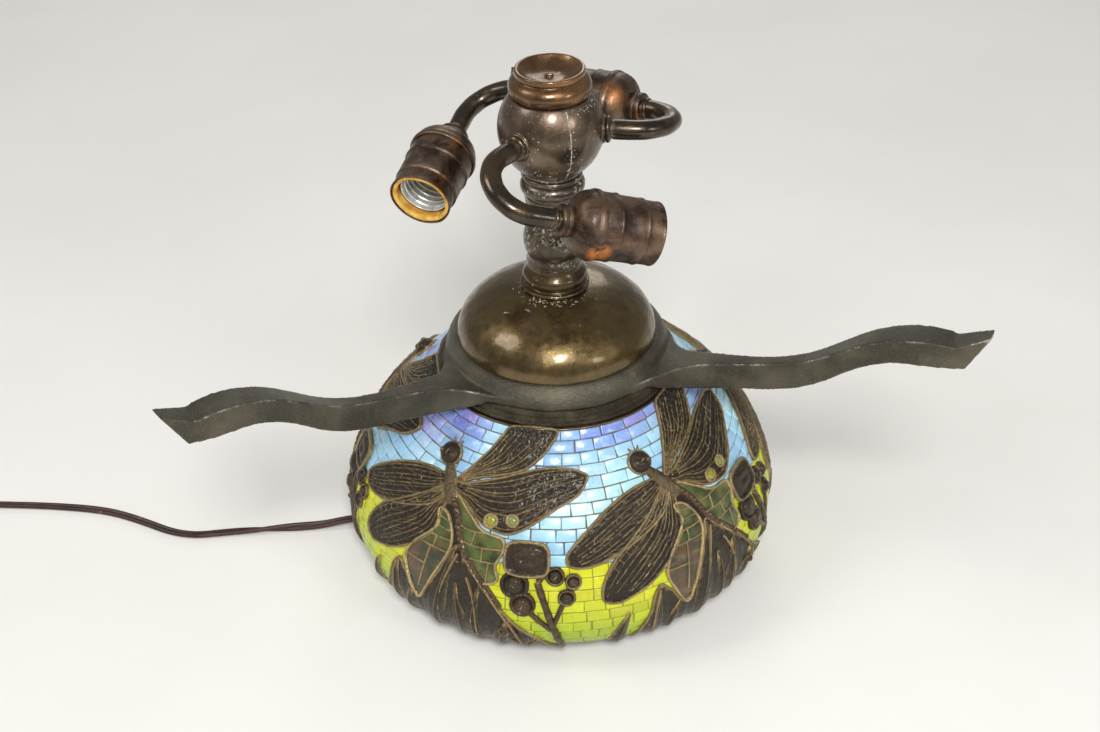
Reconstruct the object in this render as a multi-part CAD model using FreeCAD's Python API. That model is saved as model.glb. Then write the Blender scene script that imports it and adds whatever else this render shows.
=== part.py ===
"""Mosaic glass table lamp base with a three-light cluster, one STEP file per piece.

Millimetres, +Z up. The lamp's axis is Z and its felt foot rests on z = 0. Azimuths are in degrees
from +X, anticlockwise seen from above.
"""
import FreeCAD
import Part
import math
import os

V = FreeCAD.Vector
UP = V(0, 0, 1)
ORIGIN = V(0, 0, 0)

# ---- driving dimensions ------------------------------------------------------------------------
# vessel: (z, r) of the face of the glass, from the foot to the neck
BODY_POINTS = [(1.2, 98), (6, 111), (19, 129), (38, 133), (57, 129.5), (76, 121.5), (96, 108), (115, 88), (134, 69)]
GLASS = 3.0             # thickness of the mosaic layer
WALL = 3.0              # thickness of the metal vessel behind it
PROUD = 2.6             # how far the castings stand out of the glass
FOOT_Z = 1.5            # underside of the base plate, on its felt
RIM_TOP = 9.0           # top of the bottom rim
LIME_TOP = 73.0         # where the green glass gives way to blue
GLASS_TOP = 131.5       # underside of the neck rim
DECK_Z = 131.0          # underside of the vessel's top deck
DECK_TOP = 139.6        # the shade support stands on it
DECK_R = 64.0
SECTORS = 5             # the casting pattern repeats this many times round the vessel
SECTOR = 360.0 / SECTORS
FIRST_AZIMUTH = -127.6  # thorax of the first dragonfly

# shade support
SUPPORT_AZIMUTHS = [95.2, 216.5, 336.5]
HUB_R = 66.5
ARM_WIDTH = 8.0
DOME_R = 59.0
DOME_Z = 152.6
DOME_RISE = 33.0
DOME_WALL = 1.2

# stem and cluster
PIPE_R = 5.1            # 1/8 IP lamp pipe
PIPE_BORE_R = 3.7
PIPE_BOTTOM = 112.0
PIPE_TOP = 266.0
BALL_Z = 284.1
BALL_R = 29.5
BALL_WALL = 3.0
BALL_MOUTH_Z = 304.0
CAP_TOP = 319.0

# socket arms
ARM_AZIMUTHS = [109.0, 231.6, 351.6]
ARM_SWIVELS = [66.6, 60.7, 79.7]     # each arm's turn about its own radial axis, from hanging down
ARM_BENDS = [139.0, 139.0, 158.0]    # how far each tube curls round
TUBE_ENDS = [12.9, 12.9, 3.5]        # each tube's straight end after its bend
BOSS_X = 30.0
TUBE_R = 5.5
TUBE_BORE_R = 3.6
THREAD_R = 5.0
RUNNING = 0.06          # radial clearance of the swivel thread in the ball
BEND_X = 43.2           # where the tube's bend starts, from the lamp's axis
BEND_R = 21.0
SOCKET_MOUTH = 55.4     # from the tube's end
SCREW_R = 13.1          # inside radius of the screw shell
SCREW_BOTTOM = 27.0
SCREW_TOP = 49.5

# mains cord
CORD_R = 2.75
LEAD_BORE_R = 2.95
EXIT_HOLE_R = 5.2       # the hole in the vessel's foot for the cord's bushing
BUSHING_LIP_R = 6.6
CORD_EXIT = (-126.0, -3.0, 7.5)
FLOOR_Z = 2.85
CORD_ROUTE = [CORD_EXIT, (-141, -3.9, 6.6), (-157, -5.2, 3.2), (-185, -6.6, FLOOR_Z), (-216, -8.2, FLOOR_Z),
              (-247, -11.2, FLOOR_Z), (-282, 7.5, FLOOR_Z), (-306, 17.0, FLOOR_Z), (-341, 22.4, FLOOR_Z),
              (-380, 25.5, FLOOR_Z), (-417, 27.2, FLOOR_Z)]
COIL_R = 31.0           # middle of the turns
COIL_HALF = 8.6         # half the coil's section, both ways
COIL_CENTRE = (-429.0, -12.0)
TAIL_ROUTE = [(-451.0, -42.0, 19.3), (-441.0, -49.0, 17.5), (-430.5, -55.0, 11.0), (-419.5, -59.5, 7.2),
              (-408.5, -62.0, 6.5)]
PLUG_LENGTH = 27.0


# ---- general shapes ----------------------------------------------------------------------------
def wire_of(steps):
    """Closed wire in the XZ plane. A point is a straight line to it, a pair of points is an arc by way of
    the first, and a list is a smooth curve through its points."""
    edges = []
    here = V(steps[0][0], 0, steps[0][1])
    first = here
    for step in steps[1:] + [steps[0]]:
        if isinstance(step, list):
            stops = [here] + [V(r, 0, z) for r, z in step]
            curve = Part.BSplineCurve()
            curve.interpolate(stops)
            edges.append(curve.toShape())
            here = stops[-1]
        elif isinstance(step[0], tuple):
            mid, end = [V(r, 0, z) for r, z in step]
            edges.append(Part.Arc(here, mid, end).toShape())
            here = end
        else:
            end = V(step[0], 0, step[1])
            if end.distanceToPoint(here) > 1e-6:
                edges.append(Part.LineSegment(here, end).toShape())
            here = end
    assert here.distanceToPoint(first) < 1e-6
    return Part.Wire(edges)


def lathe(*steps):
    """Solid turned about Z from an outline of (r, z) steps."""
    return Part.Face(wire_of(list(steps))).revolve(ORIGIN, UP, 360)


def tube(outer, inner, low, high):
    return lathe((inner, low), (outer, low), (outer, high), (inner, high))


def cylinder(radius, low, high):
    return Part.makeCylinder(radius, high - low, V(0, 0, low))


def hex_nut(across_flats, bore, low, high):
    """Hexagonal nut about Z with a round bore."""
    corner = across_flats / math.sqrt(3)
    corners = [V(corner * math.cos(math.radians(60 * k)), corner * math.sin(math.radians(60 * k)), low)
               for k in range(6)]
    prism = Part.Face(Part.makePolygon(corners + corners[:1])).extrude(V(0, 0, high - low))
    return prism.cut(cylinder(bore, low - 1, high + 1))


def turned(shape, angle, about=UP):
    copy = shape.copy()
    copy.rotate(ORIGIN, about, angle)
    return copy


def moved(shape, offset):
    copy = shape.copy()
    copy.translate(V(*offset))
    return copy


def fused(shapes):
    return shapes[0].fuse(shapes[1:]).removeSplitter()


def rounded_path(points, report=None):
    """Wire of straight runs joined by tangent arcs, each as large as its two runs allow."""
    stops = [V(*p) for p in points]
    edges = []
    here = stops[0]
    for before, corner, after in zip(stops, stops[1:], stops[2:]):
        back = before - corner
        ahead = after - corner
        half_turn = (math.pi - back.getAngle(ahead)) / 2
        cut = 0.45 * min(back.Length, ahead.Length)
        radius = cut / math.tan(half_turn)
        start = corner + back.normalize() * cut
        end = corner + ahead.normalize() * cut
        middle = back + ahead
        middle.normalize()
        mid = corner + middle * (radius / math.cos(half_turn) - radius)
        edges.append(Part.LineSegment(here, start).toShape())
        edges.append(Part.Arc(start, mid, end).toShape())
        here = end
        if report:
            print(report, "bend radius %.0f mm, %.1f cord diameters" % (radius, radius / CORD_R / 2))
    edges.append(Part.LineSegment(here, stops[-1]).toShape())
    return Part.Wire(edges)


def round_cord(points, radius, report=None):
    """Round cord along a route, with its volume checked against its length."""
    path = rounded_path(points, report)
    start = path.Vertexes[0].Point
    ring = Part.Wire(Part.makeCircle(radius, start, path.Edges[0].tangentAt(0)))
    cord = path.makePipeShell([ring], True, True, 2)
    expected = math.pi * radius ** 2 * path.Length
    assert abs(cord.Volume / expected - 1) < 0.01
    if report:
        print(report, "length %.0f mm" % path.Length)
    return cord


# ---- vessel ------------------------------------------------------------------------------------
def body_edge(depth):
    """The vessel's meridian, moved inwards by depth along its normals."""
    curve = Part.BSplineCurve()
    curve.interpolate([V(r, 0, z) for z, r in BODY_POINTS])
    if depth:
        shifted = []
        for z, r in BODY_POINTS:
            point = V(r, 0, z)
            along = V(curve.tangent(curve.parameter(point))[0])
            shifted.append(point + V(-along.z, 0, along.x) * depth)
        curve = Part.BSplineCurve()
        curve.interpolate(shifted)
    return curve.toShape()


def joined_ends(edges):
    """The meridian edges closed into a wire by straight lines across their ends."""
    feet = [edge.valueAt(edge.FirstParameter) for edge in edges]
    necks = [edge.valueAt(edge.LastParameter) for edge in edges]
    ends = [Part.LineSegment(*pair).toShape() for pair in (feet, necks)]
    return Part.Wire(Part.__sortEdges__(edges + ends))


def body_solid(depth, low, high):
    """Everything inside the vessel's surface at that depth, between two heights."""
    edge = body_edge(depth)
    foot = edge.valueAt(edge.FirstParameter)
    neck = edge.valueAt(edge.LastParameter)
    axis = Part.LineSegment(V(0, 0, foot.z), V(0, 0, neck.z)).toShape()
    solid = Part.Face(joined_ends([edge, axis])).revolve(ORIGIN, UP, 360)
    return solid.common(cylinder(200, low, high))


def body_layer(outer, inner, low, high):
    """Shell between two depths of the vessel's wall, kept between two heights."""
    section = Part.Face(joined_ends([body_edge(outer), body_edge(inner)]))
    return section.revolve(ORIGIN, UP, 360).common(cylinder(200, low, high))


BODY_EDGE = body_edge(0)


def on_body(azimuth, along):
    """Point of the glass face at an azimuth and a distance up the meridian, and the normal there."""
    parameter = BODY_EDGE.getParameterByLength(along)
    point = BODY_EDGE.valueAt(parameter)
    tangent = BODY_EDGE.tangentAt(parameter)
    normal = V(tangent.z, 0, -tangent.x)
    turn = FreeCAD.Rotation(UP, azimuth)
    return turn.multVec(point), turn.multVec(normal)


def prism(outline):
    """Straight-sided block whose sides cut the glass face along an outline of (azimuth, distance)."""
    azimuth = sum(a for a, _ in outline) / len(outline)
    along = sum(s for _, s in outline) / len(outline)
    centre, normal = on_body(azimuth, along)
    lift, depth = 14.0, 42.0
    corners = []
    for a, s in outline:
        point = on_body(a, s)[0]
        corners.append(point - normal * ((point - centre) * normal - lift))
    return Part.Face(Part.makePolygon(corners + corners[:1])).extrude(normal * -depth)


def stem_outline(points, width):
    """Outline of a strip of even width (mm) along a line of (azimuth, distance) points."""
    degree = math.radians(125.0)    # mm of the glass face per degree, near the vessel's widest part
    left, right = [], []
    for k, (a, s) in enumerate(points):
        before = points[max(k - 1, 0)]
        after = points[min(k + 1, len(points) - 1)]
        run = V((after[0] - before[0]) * degree, after[1] - before[1], 0).normalize()
        left.append((a - run.y * width / 2 / degree, s + run.x * width / 2))
        right.append((a + run.y * width / 2 / degree, s - run.x * width / 2))
    return left + right[::-1]


# outlines in degrees from the dragonfly's thorax and mm up the meridian
UPPER_WING = [(1.5, 130), (5, 141), (9.5, 153), (13, 163), (17.5, 170.5), (36, 170.5), (33.5, 161), (29, 153),
              (24, 146.5), (17, 142), (9, 137)]
RIGHT_WING = [(0, 131), (5, 131.5), (14, 138), (24, 145), (32, 148.3), (41, 148), (46, 144.8), (46.8, 141.5),
              (43, 133), (36, 126), (30, 118), (24.5, 111.5), (20.5, 110), (13.5, 113.5), (8, 121), (2, 126)]
LEFT_WING = [(0.5, 131), (-6, 131.7), (-12, 130), (-17, 126.5), (-22, 121), (-26.5, 114), (-30.5, 106.5),
             (-33, 100), (-33, 94.5), (-30, 92.2), (-25, 93.3), (-18, 98.5), (-4, 112), (1, 125)]
LOWER_WING = [(0, 128), (-8, 115), (-18.5, 98), (-21.5, 91), (-23.5, 84), (-24.6, 76), (-24, 70), (-20.5, 68.3),
              (-16, 71.3), (-11.5, 76), (-7, 83), (-3, 91), (0, 99), (1, 112), (1.5, 125)]
THORAX = [(-5, 139.5), (-2.5, 140), (3, 128), (4.5, 120), (1.5, 117), (-2, 126)]
TAIL = [(3, 122), (6.3, 113), (9.5, 98), (13.5, 87), (17.5, 77), (21.5, 66)]
TAIL_WIDTH = 5.0
HEAD = (-5.0, 143.5)
HEAD_R = 6.8
JEWELS = [(16.8, 115.6, 3.4), (23.2, 117.6, 3.0)]

GREEN_LEAF = [(4, 122), (9.5, 117), (13.5, 110.5), (16.5, 108.2), (21, 106.5), (21.6, 100), (19.8, 91),
              (20.6, 82.5), (17.5, 79), (14, 84)]
LONG_LEAF = [(0, 113), (1, 104), (-1, 97.5), (-5, 87.5), (-7, 77.5), (-5.4, 66), (-2, 53), (0.5, 62),
             (3, 75), (6, 90), (6.5, 98), (5.5, 105), (3, 112)]
SEPALS = [(-13, 21), (-12, 58), (-9.5, 71), (-6.5, 66), (-2, 54), (4, 76), (8, 96), (12, 88), (17.5, 74),
          (22, 63), (26, 53), (33, 38), (34, 21)]
BUD = [(-25, 21), (-24, 42), (-20.5, 53), (-17.5, 60), (-16.6, 50), (-16.2, 21)]
POD = [(22.3, 104.5), (24, 107), (32.5, 107), (34, 104), (33.5, 90), (31.5, 87.4), (24, 87.4), (22.3, 90)]
BERRIES = [(25.6, 81.5, 6.6), (28.2, 70.5, 5.6), (35.4, 88, 5.0), (39.6, 84.5, 4.4), (38.2, 75, 4.8)]
POD_STEM = [(31, 84), (33.4, 66), (36.4, 40), (37, 24)]
STEM_WIDTH = 4.6


def wing_prisms():
    outlines = [UPPER_WING, RIGHT_WING, LEFT_WING, LOWER_WING, THORAX, stem_outline(TAIL, TAIL_WIDTH)]
    return [prism(outline) for outline in outlines]


def head_ball():
    centre, normal = on_body(*HEAD)
    return Part.makeSphere(HEAD_R, centre + normal * (PROUD - GLASS))


def leaf_prisms():
    outlines = [GREEN_LEAF, LONG_LEAF, SEPALS, BUD, POD, stem_outline(POD_STEM, STEM_WIDTH)]
    return [prism(outline) for outline in outlines]


def berry_balls():
    balls = []
    for azimuth, along, radius in BERRIES:
        centre, normal = on_body(azimuth, along)
        balls.append(Part.makeSphere(radius, centre + normal * (PROUD - GLASS)))
    return balls


def jewel_rods():
    rods = []
    for azimuth, along, radius in JEWELS:
        centre, normal = on_body(azimuth, along)
        rods.append(Part.makeCylinder(radius, 12, centre - normal * 6, normal))
    return rods


def ring_of(shape):
    """The same shape in every sector, starting with the first dragonfly's."""
    return [turned(shape, FIRST_AZIMUTH + SECTOR * k) for k in range(SECTORS)]


def mosaic_and_castings():
    """The glass in two colours, the five dragonflies, the foliage between them and the wing jewels."""
    relief = body_layer(-PROUD, GLASS, RIM_TOP, GLASS_TOP)
    metal = body_solid(GLASS, 0, 200)
    wings = wing_prisms()
    head = head_ball()
    rods = jewel_rods()
    berries = berry_balls()
    leaves = leaf_prisms()
    whole = relief.common(fused(wings)).fuse(head.cut(metal)).removeSplitter()
    dragonfly = whole.cut(rods)
    jewel = Part.Compound([body_layer(-PROUD / 2, GLASS, RIM_TOP, GLASS_TOP).common(rod) for rod in rods])
    spray = relief.common(fused(leaves)).fuse([ball.cut(metal) for ball in berries]).removeSplitter()
    spray = spray.cut([turned(whole, SECTOR * k) for k in (-1, 0, 1)])
    cutters = []
    for solid in (whole, spray):
        cutters += ring_of(solid)
    save("mosaic_sky", body_layer(0, GLASS, LIME_TOP, GLASS_TOP).cut(cutters))
    save("mosaic_lime", body_layer(0, GLASS, RIM_TOP, LIME_TOP).cut(cutters + [exit_hole()]))
    for k, shape in enumerate(ring_of(dragonfly)):
        save("dragonfly_%d" % (k + 1), shape)
    save("foliage_castings", Part.Compound([copy.cut(exit_hole()) for copy in ring_of(spray)]))
    save("wing_jewels", Part.Compound(ring_of(jewel)))


FLANGE_Z = 4.5
FLANGE_TOP = 8.0
FLANGE_IN = 80.0
SHELL_FOOT = 1.2
PLATE_R = 94.0
PLATE_GAP = 0.3
FELT_R = 82.0
SCREW_PCD_R = 87.5
SCREW_SHANK_R = 1.9
SCREW_COUNT = 5
LIP_X = 115.5           # back of the bushing's lip, from the lamp's axis
LIP_GAP = 0.2


def exit_hole():
    """Stepped rod along the line on which the cord leaves the foot: the bushing's hole and its lip's seat."""
    hole = cylinder(EXIT_HOLE_R, 70, 130)
    seat = cylinder(BUSHING_LIP_R + LIP_GAP, LIP_X - 0.1, 130)
    return on_exit_line(hole.fuse(seat))


def on_exit_line(shape):
    """Move a shape turned about +Z onto the cord's line out of the foot."""
    return moved(turned(shape, -90, V(0, 1, 0)), (0, CORD_EXIT[1], CORD_EXIT[2]))


def screw_places():
    angles = [math.radians(360.0 / SCREW_COUNT * k) for k in range(SCREW_COUNT)]
    return [(SCREW_PCD_R * math.cos(a), SCREW_PCD_R * math.sin(a), 0) for a in angles]


def body_shell():
    """Hollow metal vessel with a screw flange at its foot and a deck across its neck."""
    vessel = body_solid(GLASS, SHELL_FOOT, GLASS_TOP).fuse(cylinder(DECK_R, DECK_Z, DECK_TOP))
    cavity = body_solid(GLASS + WALL, FLANGE_TOP, DECK_Z)
    under_deck = cylinder(DECK_R - WALL, DECK_Z - 10, DECK_Z)
    recess = cylinder(PLATE_R + PLATE_GAP, 0, FLANGE_Z)
    opening = cylinder(FLANGE_IN, 0, FLANGE_TOP + 1)
    holes = [moved(cylinder(SCREW_SHANK_R, 0, 12), place) for place in screw_places()]
    pipe_hole = cylinder(PIPE_R, DECK_Z - 1, DECK_TOP + 1)
    return vessel.cut([cavity, under_deck, recess, opening, pipe_hole, exit_hole()] + holes)


def bottom_rim():
    """Cast band round the foot, standing proud of the glass."""
    return body_layer(-PROUD, GLASS, SHELL_FOOT, RIM_TOP).cut(exit_hole())


def neck_rim():
    """Beaded ring that closes the glass under the shade support."""
    ring = lathe((0, GLASS_TOP), (70.6, GLASS_TOP), ((71.4, 132.9), (70.4, 134.2)), ((68.4, 135.6), (68.0, 137.2)),
                 (66.2, 138.8), (66.2, DECK_TOP), (0, DECK_TOP))
    return ring.cut(cylinder(DECK_R, 0, 200))


def base_plate():
    plate = cylinder(PLATE_R, FOOT_Z, FLANGE_Z)
    head = lathe((0, FOOT_Z), (3.7, FOOT_Z), (SCREW_SHANK_R, FOOT_Z + 2), (SCREW_SHANK_R, 6), (0, 6))
    return plate.cut([moved(head, place) for place in screw_places()])


def felt_pad():
    return cylinder(FELT_R, 0, FOOT_Z)


def base_screws():
    """Countersunk screws, with a driver slot across each head."""
    screw = lathe((0, FOOT_Z), (3.7, FOOT_Z), (SCREW_SHANK_R, FOOT_Z + 2), (SCREW_SHANK_R, 10.5), (0, 10.5))
    screw = screw.cut(Part.makeBox(9, 1, 1, V(-4.5, -0.5, FOOT_Z - 0.3)))
    return Part.Compound([moved(screw, place) for place in screw_places()])


def cord_bushing():
    """Flanged strain relief in the foot, tapering along the cord."""
    sleeve_r = EXIT_HOLE_R - 0.1
    tip = -CORD_EXIT[0]
    return on_exit_line(lathe((LEAD_BORE_R, 96), (sleeve_r, 96), (sleeve_r, LIP_X), (BUSHING_LIP_R, LIP_X),
                              (BUSHING_LIP_R, LIP_X + 2), (4.9, LIP_X + 3), (3.9, tip), (LEAD_BORE_R, tip)))


# ---- shade support and dome --------------------------------------------------------------------
def support_arm():
    """One arm along +X: its side view cut by its plan, which widens into the hub."""
    side = wire_of([(54, 146), [(66, 145.6), (87, 151.3), (120, 158.6), (156, 171.6), (185, 191), (205, 198.5),
                                (229.5, 199.4)], (247.5, 208.5), (236.2, 187.1),
                    [(214, 184.5), (198, 182), (176, 169.5), (157, 154.5), (137, 145.2), (120, 140.9),
                     (100, 137), (78, 134.6), (66, 139.6)], (54, 139.6)])
    slab = Part.Face(side).extrude(V(0, 80, 0))
    slab.translate(V(0, -40, 0))
    half = ARM_WIDTH / 2
    edges = []
    for sign in (1, -1):
        curve = Part.BSplineCurve()
        curve.interpolate([V(58, 33 * sign, 0), V(66, 22 * sign, 0), V(78, 11 * sign, 0),
                           V(98, 6.2 * sign, 0), V(135, (half + 0.4) * sign, 0), V(250, half * sign, 0)])
        edges.append(curve.toShape())
    ends = [Part.LineSegment(V(x, -y, 0), V(x, y, 0)).toShape() for x, y in ((58, 33), (250, half))]
    plan = Part.Face(Part.Wire(Part.__sortEdges__(edges + ends))).extrude(V(0, 0, 300))
    return slab.common(plan)


def shade_support():
    """Iron spider that carries the shade: a hub under the dome and three rising arms."""
    hub = lathe((PIPE_R, 143), (50, 143), (54, DECK_TOP), (HUB_R, DECK_TOP), ((65.4, 147), (60, DOME_Z)),
                (56, DOME_Z), (52, 148), (PIPE_R, 148))
    arm = support_arm()
    arms = [turned(arm, azimuth) for azimuth in SUPPORT_AZIMUTHS]
    return fused([hub] + arms).cut(lathe((0, DOME_Z), (DOME_R, DOME_Z), (58, 200), (0, 200)))


def dome_cover():
    """Spun half-ellipse over the hub."""
    def shell(radius, rise):
        ball = Part.makeSphere(1.0)
        stretch = FreeCAD.Matrix()
        stretch.scale(radius, radius, rise)
        return ball.transformGeometry(stretch)
    solid = shell(DOME_R, DOME_RISE).cut(shell(DOME_R - DOME_WALL, DOME_RISE - DOME_WALL))
    solid = solid.common(cylinder(100, 0, 100)).cut(cylinder(PIPE_R, -10, 100))
    return moved(solid, (0, 0, DOME_Z))


# ---- stem --------------------------------------------------------------------------------------
def threaded_pipe():
    return tube(PIPE_R, PIPE_BORE_R, PIPE_BOTTOM, PIPE_TOP)


def pipe_locknuts():
    """One nut under the deck and one on the hub clamp vessel and support together."""
    return Part.Compound([hex_nut(16, PIPE_R, DECK_Z - 5, DECK_Z), hex_nut(16, PIPE_R, 148, 152)])


def stem_flange():
    """Foot of the stem, hollow underneath to sit over the dome's crown."""
    return lathe((PIPE_R, 186.4), (16.5, 186.4), (18.2, 184.1), ((20.2, 184.9), (18.6, 186.6)), (17.3, 187.4),
                 ((18.9, 191.3), (17.2, 195)), (15.6, 197.4), (15.2, 200), (PIPE_R, 200))


def stem_column():
    """Turned column: a waist, a cup and a long neck."""
    return lathe((PIPE_R, 200), (15.2, 200), (16.4, 201.2), ((15.5, 204.2), (16.2, 208)), ((17.7, 214.5), (16.4, 221)),
                 (14.2, 225), ((12.9, 231), (13.4, 237)), (15.2, 240.5), (15.2, 243), (PIPE_R, 243))


def stem_collar():
    """Beaded collar between the column and the ball."""
    return lathe((PIPE_R, 243), (14.6, 243), (14.6, 245.2), (16.3, 245.8), ((18.3, 249.7), (16.5, 253.2)),
                 (15.2, 253.8), ((16.9, 255.6), (15.2, 257.4)), (16.1, 258), (16.1, 259.3), (PIPE_R, 259.3))


def ball_port(azimuth, radius, low, high):
    """Rod on an arm's swivel axis, between two distances from the lamp's axis."""
    rod = turned(cylinder(radius, low, high), 90, V(0, 1, 0))
    return moved(turned(rod, azimuth), (0, 0, BALL_Z))


def cluster_ball():
    """Hollow ball with a threaded neck, an open top and a spot-faced port for each arm."""
    bottom = 259.3
    ball = Part.makeSphere(BALL_R, V(0, 0, BALL_Z)).common(cylinder(60, bottom, BALL_MOUTH_Z))
    bosses = [ball_port(a, 7.6, 24, BOSS_X) for a in ARM_AZIMUTHS]
    inside = Part.makeSphere(BALL_R - BALL_WALL, V(0, 0, BALL_Z)).common(cylinder(60, 264, 300.5))
    ports = [ball_port(a, THREAD_R + RUNNING, 15, 40) for a in ARM_AZIMUTHS]
    mouth = cylinder(17.6, 295, 310)
    return fused([ball] + bosses).cut([inside, mouth, cylinder(PIPE_R, 250, 270)] + ports)


def cluster_cap():
    """Turned cap over the ball's mouth: a bead, a rim and a dished top with a small button."""
    return lathe((0, 301), (17.4, 301), (17.4, BALL_MOUTH_Z), (20.6, BALL_MOUTH_Z), ((22.8, 309.3), (19.4, 314.4)),
                 (18.4, 315), (19.2, 316), (19.2, 318.3), (18.6, CAP_TOP), (17.4, CAP_TOP),
                 ((12, 314.9), (2.8, 313.6)), ((2.2, 315.3), (0.8, 315.9)), (0, 315.9))


LEAD_ROUTE = [CORD_EXIT, (-70, -3, 7.5), (-24, -1, 34), (0, 0, 84), (0, 0, PIPE_TOP + 3)]
NUT_OFFSET = 6.2


def mains_lead():
    """The cord inside the lamp, from the bushing's tip up the pipe into the ball."""
    return round_cord(LEAD_ROUTE, CORD_R)


def wire_nuts():
    """Two twist-on connectors that splice the lead to the sockets' wires."""
    nut = lathe((0, 272), (4.6, 272), (4.6, 275), (3.2, 287), ((2.4, 288.5), (1, 289)), (0, 289))
    return Part.Compound([moved(nut, (0, side * NUT_OFFSET, 0)) for side in (1, -1)])


# ---- socket arms -------------------------------------------------------------------------------
# Built with the swivel axis along +X from the lamp's axis and the tube curling towards -Z.
COLLAR_IN = BOSS_X + 0.2
COLLAR_OUT = COLLAR_IN + 2.6


def tube_tip(bend, end):
    """The tube's end and the way it points there."""
    angle = math.radians(bend)
    run = V(math.cos(angle), 0, -math.sin(angle))
    bend_out = V(BEND_X + BEND_R * math.sin(angle), 0, -BEND_R * (1 - math.cos(angle)))
    return bend_out + run * end, run


def swept(bend, end, start, radius):
    """Round bar along the tube's centre line, from a distance on the swivel axis to the tube's end."""
    angle = math.radians(bend)
    tip, run = tube_tip(bend, end)
    bend_in = V(BEND_X, 0, 0)
    bend_out = tip - run * end
    halfway = bend_in + V(math.sin(angle / 2), 0, math.cos(angle / 2) - 1) * BEND_R
    path = Part.Wire([Part.LineSegment(V(start, 0, 0), bend_in).toShape(),
                      Part.Arc(bend_in, halfway, bend_out).toShape(),
                      Part.LineSegment(bend_out, tip).toShape()])
    ring = Part.Wire(Part.makeCircle(radius, V(start, 0, 0), V(1, 0, 0)))
    return path.makePipeShell([ring], True, True, 2)


def swivel_rod(radius, low, high):
    return turned(cylinder(radius, low, high), 90, V(0, 1, 0))


def on_tip(shape, bend, end):
    """Move a shape turned about +Z so that it starts at the tube's end and points along it."""
    copy = shape.copy()
    tip, run = tube_tip(bend, end)
    copy.Placement = FreeCAD.Placement(tip, FreeCAD.Rotation(UP, run))
    return copy


def socket_arm(bend, end):
    """Curved brass tube, its ends turned down and threaded."""
    bead = lathe((4, -2.4), (TUBE_R, -2.4), ((6.3, -1.4), (TUBE_R, -0.4)), (4, -0.4))
    spigot = cylinder(THREAD_R, -2, 9)
    body = fused([swept(bend, end, COLLAR_OUT, TUBE_R), swivel_rod(THREAD_R, 19.5, COLLAR_OUT + 1),
                  on_tip(spigot, bend, end), on_tip(bead, bend, end)])
    return body.cut([swept(bend, end, 15, TUBE_BORE_R), on_tip(cylinder(TUBE_BORE_R, -3, 10), bend, end)])


def arm_collar():
    washer = lathe((THREAD_R, COLLAR_IN), (6.9, COLLAR_IN), ((7.4, COLLAR_IN + 1.2), (6.9, COLLAR_OUT - 0.4)),
                   (6.4, COLLAR_OUT), (THREAD_R, COLLAR_OUT))
    return turned(washer, 90, V(0, 1, 0))


def arm_locknut():
    """Nut on the thread inside the ball, clear of its wall."""
    return turned(hex_nut(12, THREAD_R, 20.6, 24.4), 90, V(0, 1, 0))


def socket_cap():
    """Spun cap: a locking neck, a bell and a bead at its edge."""
    return lathe((THREAD_R, 0.6), (7.6, 0.6), ((8.7, 1.4), (8.7, 2.6)), (8.7, 6.2), (8.0, 7.4),
                 ((15.4, 10.6), (18.4, 17.2)), ((19.3, 19.3), (18.9, 21.4)), (18.3, 21.4), (18.3, 17.6),
                 ((14.6, 11.6), (7.4, 8.4)), (THREAD_R, 8.4))


def socket_shell():
    """Thin brass shell, stepping in towards its mouth."""
    outer = [(18.2, 18.4), (18.2, 30.4), (17.6, 31.4), (17.6, 45.8), (17.0, 47), (17.25, SOCKET_MOUTH)]
    wall = 0.6
    inner = [(r - wall, s) for r, s in reversed(outer)]
    return lathe(*(outer + inner))


def socket_liner():
    """Fibre sleeve that insulates the shell."""
    return tube(16.35, 15.3, 17, SOCKET_MOUTH - 0.6)


def screw_shell():
    """Thin metal sleeve that takes the lamp's screw base."""
    return tube(SCREW_R + 0.5, SCREW_R, SCREW_BOTTOM, SCREW_TOP)


CORE_FLOOR = 23.4


def socket_core():
    """Insulating body behind the screw shell, with a wire passage."""
    core = lathe((0, 14), (13.5, 14), (15.25, 16.5), (15.25, SCREW_BOTTOM), (12.3, SCREW_BOTTOM), (12.3, CORE_FLOOR),
                 (0, CORE_FLOOR))
    return core.cut([moved(cylinder(1.4, 0, 30), (0, side * 8.5, 0)) for side in (1, -1)])


def centre_contact():
    """Sprung brass tongue at the bottom of the socket."""
    disc = lathe((0, CORE_FLOOR), (4.2, CORE_FLOOR), (4.2, CORE_FLOOR + 0.8), ((2.6, CORE_FLOOR + 2),
                                                                              (0.8, CORE_FLOOR + 2.4)),
                 (0, CORE_FLOOR + 2.4))
    tab = Part.makeBox(7, 3, 0.8, V(3, -1.5, CORE_FLOOR))
    return disc.fuse(tab).removeSplitter()


LAMPHOLDER = [socket_cap, socket_shell, socket_liner, screw_shell, socket_core, centre_contact]


def arm_pieces(bend, end):
    """One arm's nine pieces by name, with its swivel axis along +X."""
    pieces = {"socket_arm": socket_arm(bend, end), "arm_collar": arm_collar(), "arm_locknut": arm_locknut()}
    for make in LAMPHOLDER:
        pieces[make.__name__] = on_tip(make(), bend, end)
    return pieces


def place_arms():
    """The three arms on their ports, each with its own swivel."""
    for k, azimuth in enumerate(ARM_AZIMUTHS):
        port = FreeCAD.Placement(V(0, 0, BALL_Z), FreeCAD.Rotation(UP, azimuth))
        swivel = FreeCAD.Placement(ORIGIN, FreeCAD.Rotation(V(1, 0, 0), ARM_SWIVELS[k]))
        for name, piece in arm_pieces(ARM_BENDS[k], TUBE_ENDS[k]).items():
            piece.Placement = port.multiply(swivel).multiply(piece.Placement)
            save("%s_%d" % (name, k + 1), piece)


# ---- mains cord --------------------------------------------------------------------------------
def cord_run():
    return round_cord(CORD_ROUTE, CORD_R, "cord run")


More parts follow.
